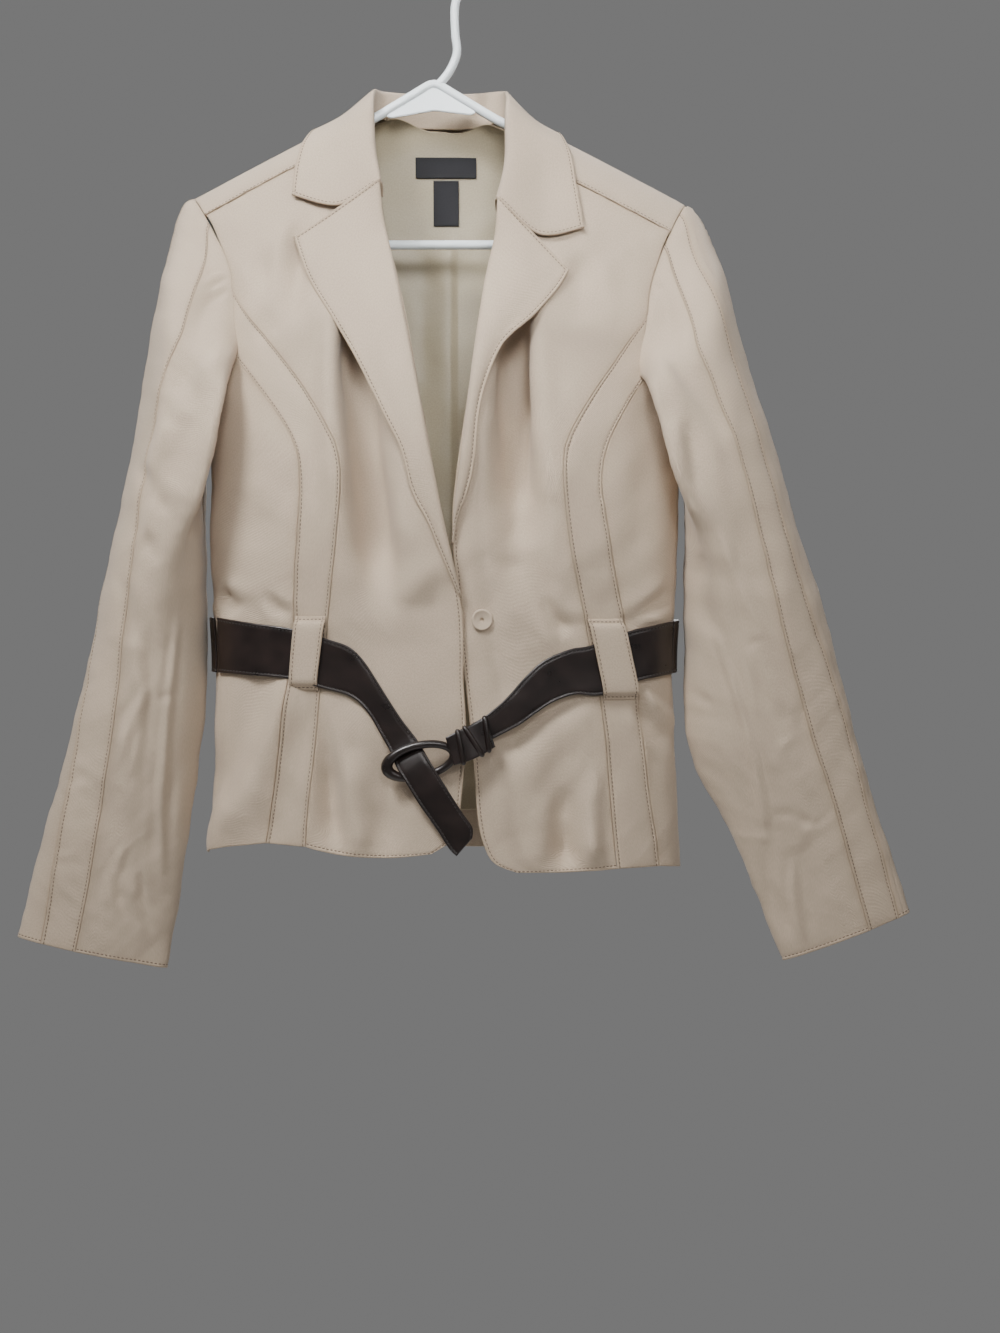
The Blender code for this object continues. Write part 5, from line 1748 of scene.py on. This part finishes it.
def dress_hanger():
    """Frame, web and hook of the hanger."""
    loop = rounded_corners(hanger_loop(), *FRAME_CORNER)
    shape = tube_piece("hanger_frame", loop, TUBE, True, PLASTIC, "hanger_plastic")
    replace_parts(shape, "hanger")
    hook_centre = (0.0, HOOK_RISE + HOOK_TUBE - HOOK_RADIUS)
    stem = smooth_line([(x, 0.0, height) for x, height in STEM], STEM_STEPS)
    bow = arc(hook_centre, HOOK_RADIUS, HOOK_START_ANGLE, HOOK_TIP_ANGLE, HOOK_STEPS)
    tube_piece("hanger_hook", stem + bow, HOOK_TUBE, False, PLASTIC, "hanger_plastic")
    outline = rounded_corners([(x, 0.0, height) for x, height in WEB], *WEB_CORNER)
    plate = bmesh.new()
    verts = [plate.verts.new(to_world((x, -WEB_HALF_WALL, height))) for x, _, height in outline]
    face = plate.faces.new(verts)
    made = bmesh.ops.extrude_face_region(plate, geom=[face], use_keep_orig=True)
    for vert in made["geom"]:
        if isinstance(vert, bmesh.types.BMVert):
            vert.co.y += 2 * WEB_HALF_WALL * MM
    bmesh.ops.recalc_face_normals(plate, faces=plate.faces)
    bmesh.ops.bevel(plate, geom=plate.edges[:], offset=WEB_BEVEL, segments=2, affect="EDGES")
    new_piece("hanger_web", mesh_from("hanger_web", plate), PLASTIC, "hanger_plastic")


def rounded_corners(points, radius, steps):
    """A closed outline whose corners are rounded."""
    line = []
    count = len(points)
    for index in range(count):
        corner = Vector(points[index])
        before = Vector(points[index - 1])
        after = Vector(points[(index + 1) % count])
        reach = min(radius, CORNER_SHARE * (before - corner).length, CORNER_SHARE * (after - corner).length)
        first = corner + (before - corner).normalized() * reach
        second = corner + (after - corner).normalized() * reach
        for step in range(steps + 1):
            part = step / steps
            low = first.lerp(corner, part)
            line.append(tuple(low.lerp(corner.lerp(second, part), part)))
    return line


def dress_button():
    """A covered disc with a raised rim and a small hole."""
    point = front_point(BUTTON_X, BUTTON_HEIGHT)
    outward = front_normal(point)
    point.y += underlap(BUTTON_X, BUTTON_HEIGHT)
    point += outward * (0.5 * BUTTON_WALL + BUTTON_LIFT)
    disc = bmesh.new()
    verts = [disc.verts.new((radius * MM, 0.0, height * MM)) for radius, height in BUTTON_PROFILE]
    edges = [disc.edges.new(pair) for pair in zip(verts, verts[1:])]
    bmesh.ops.spin(disc, geom=verts + edges, cent=(0, 0, 0), axis=(0, 0, 1), angle=2 * math.pi,
                   steps=BUTTON_STEPS, use_merge=True)
    bmesh.ops.remove_doubles(disc, verts=disc.verts, dist=WELD)
    bmesh.ops.recalc_face_normals(disc, faces=disc.faces)
    turn = outward.to_track_quat("Z", "Y").to_matrix().to_4x4()
    turn.translation = to_world(point)
    disc.transform(turn)
    mesh = mesh_from("button_disc", disc)
    mesh.shade_smooth()
    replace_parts(new_piece("button_disc", mesh, CLOTH, "shell_cloth"), "button")


def declare(made):
    """Passes over the cloth pieces that have a cut in CUTS, and does nothing with them."""
    for node, item, sewn in made:
        if node not in CUTS:
            continue


def add_light(name, place, aim, size, power, spread):
    """A soft square light, with the degrees that it spreads over."""
    lamp = bpy.data.lights.new(name, "AREA")
    lamp.size = size
    lamp.energy = power
    lamp.spread = math.radians(spread)
    item = place_in_scene(name, lamp)
    item.location = place
    item.rotation_euler = (Vector(aim) - Vector(place)).to_track_quat("-Z", "Y").to_euler()


def add_stage():
    """Floor, lights, background and camera."""
    disc = bmesh.new()
    bmesh.ops.create_circle(disc, cap_ends=True, segments=FLOOR_SIDES, radius=FLOOR_RADIUS)
    mesh = mesh_from("floor", disc)
    mesh.materials.append(node_material("pale_floor", FLOOR_COLOUR, FLOOR_ROUGHNESS)[0])
    floor = place_in_scene("floor", mesh)
    floor.location = (0.0, 0.0, FLOOR_HEIGHT)
    for light in LIGHTS:
        add_light(*light)
    world = bpy.data.worlds.new("studio")
    bpy.context.scene.world = world
    world.use_nodes = True
    set_values(world.node_tree.nodes["Background"], {"Color": SKY_COLOUR, "Strength": SKY_STRENGTH})
    lens = bpy.data.cameras.new("camera")
    lens.sensor_fit = "HORIZONTAL"
    lens.sensor_width = SENSOR_WIDTH
    lens.lens = LENS
    camera = place_in_scene("camera", lens)
    camera.location = CAMERA
    camera.rotation_euler = (math.radians(90), 0.0, 0.0)
    bpy.context.scene.camera = camera


def main():
    add_stage()
    dress_hanger()
    made = []
    for side in (RIGHT, LEFT):
        dress_body(made, side)
        dress_sleeve(made, side)
    dress_inside(made)
    dress_belt(made)
    dress_buckle()
    dress_knot()
    dress_button()
    declare(made)


main()
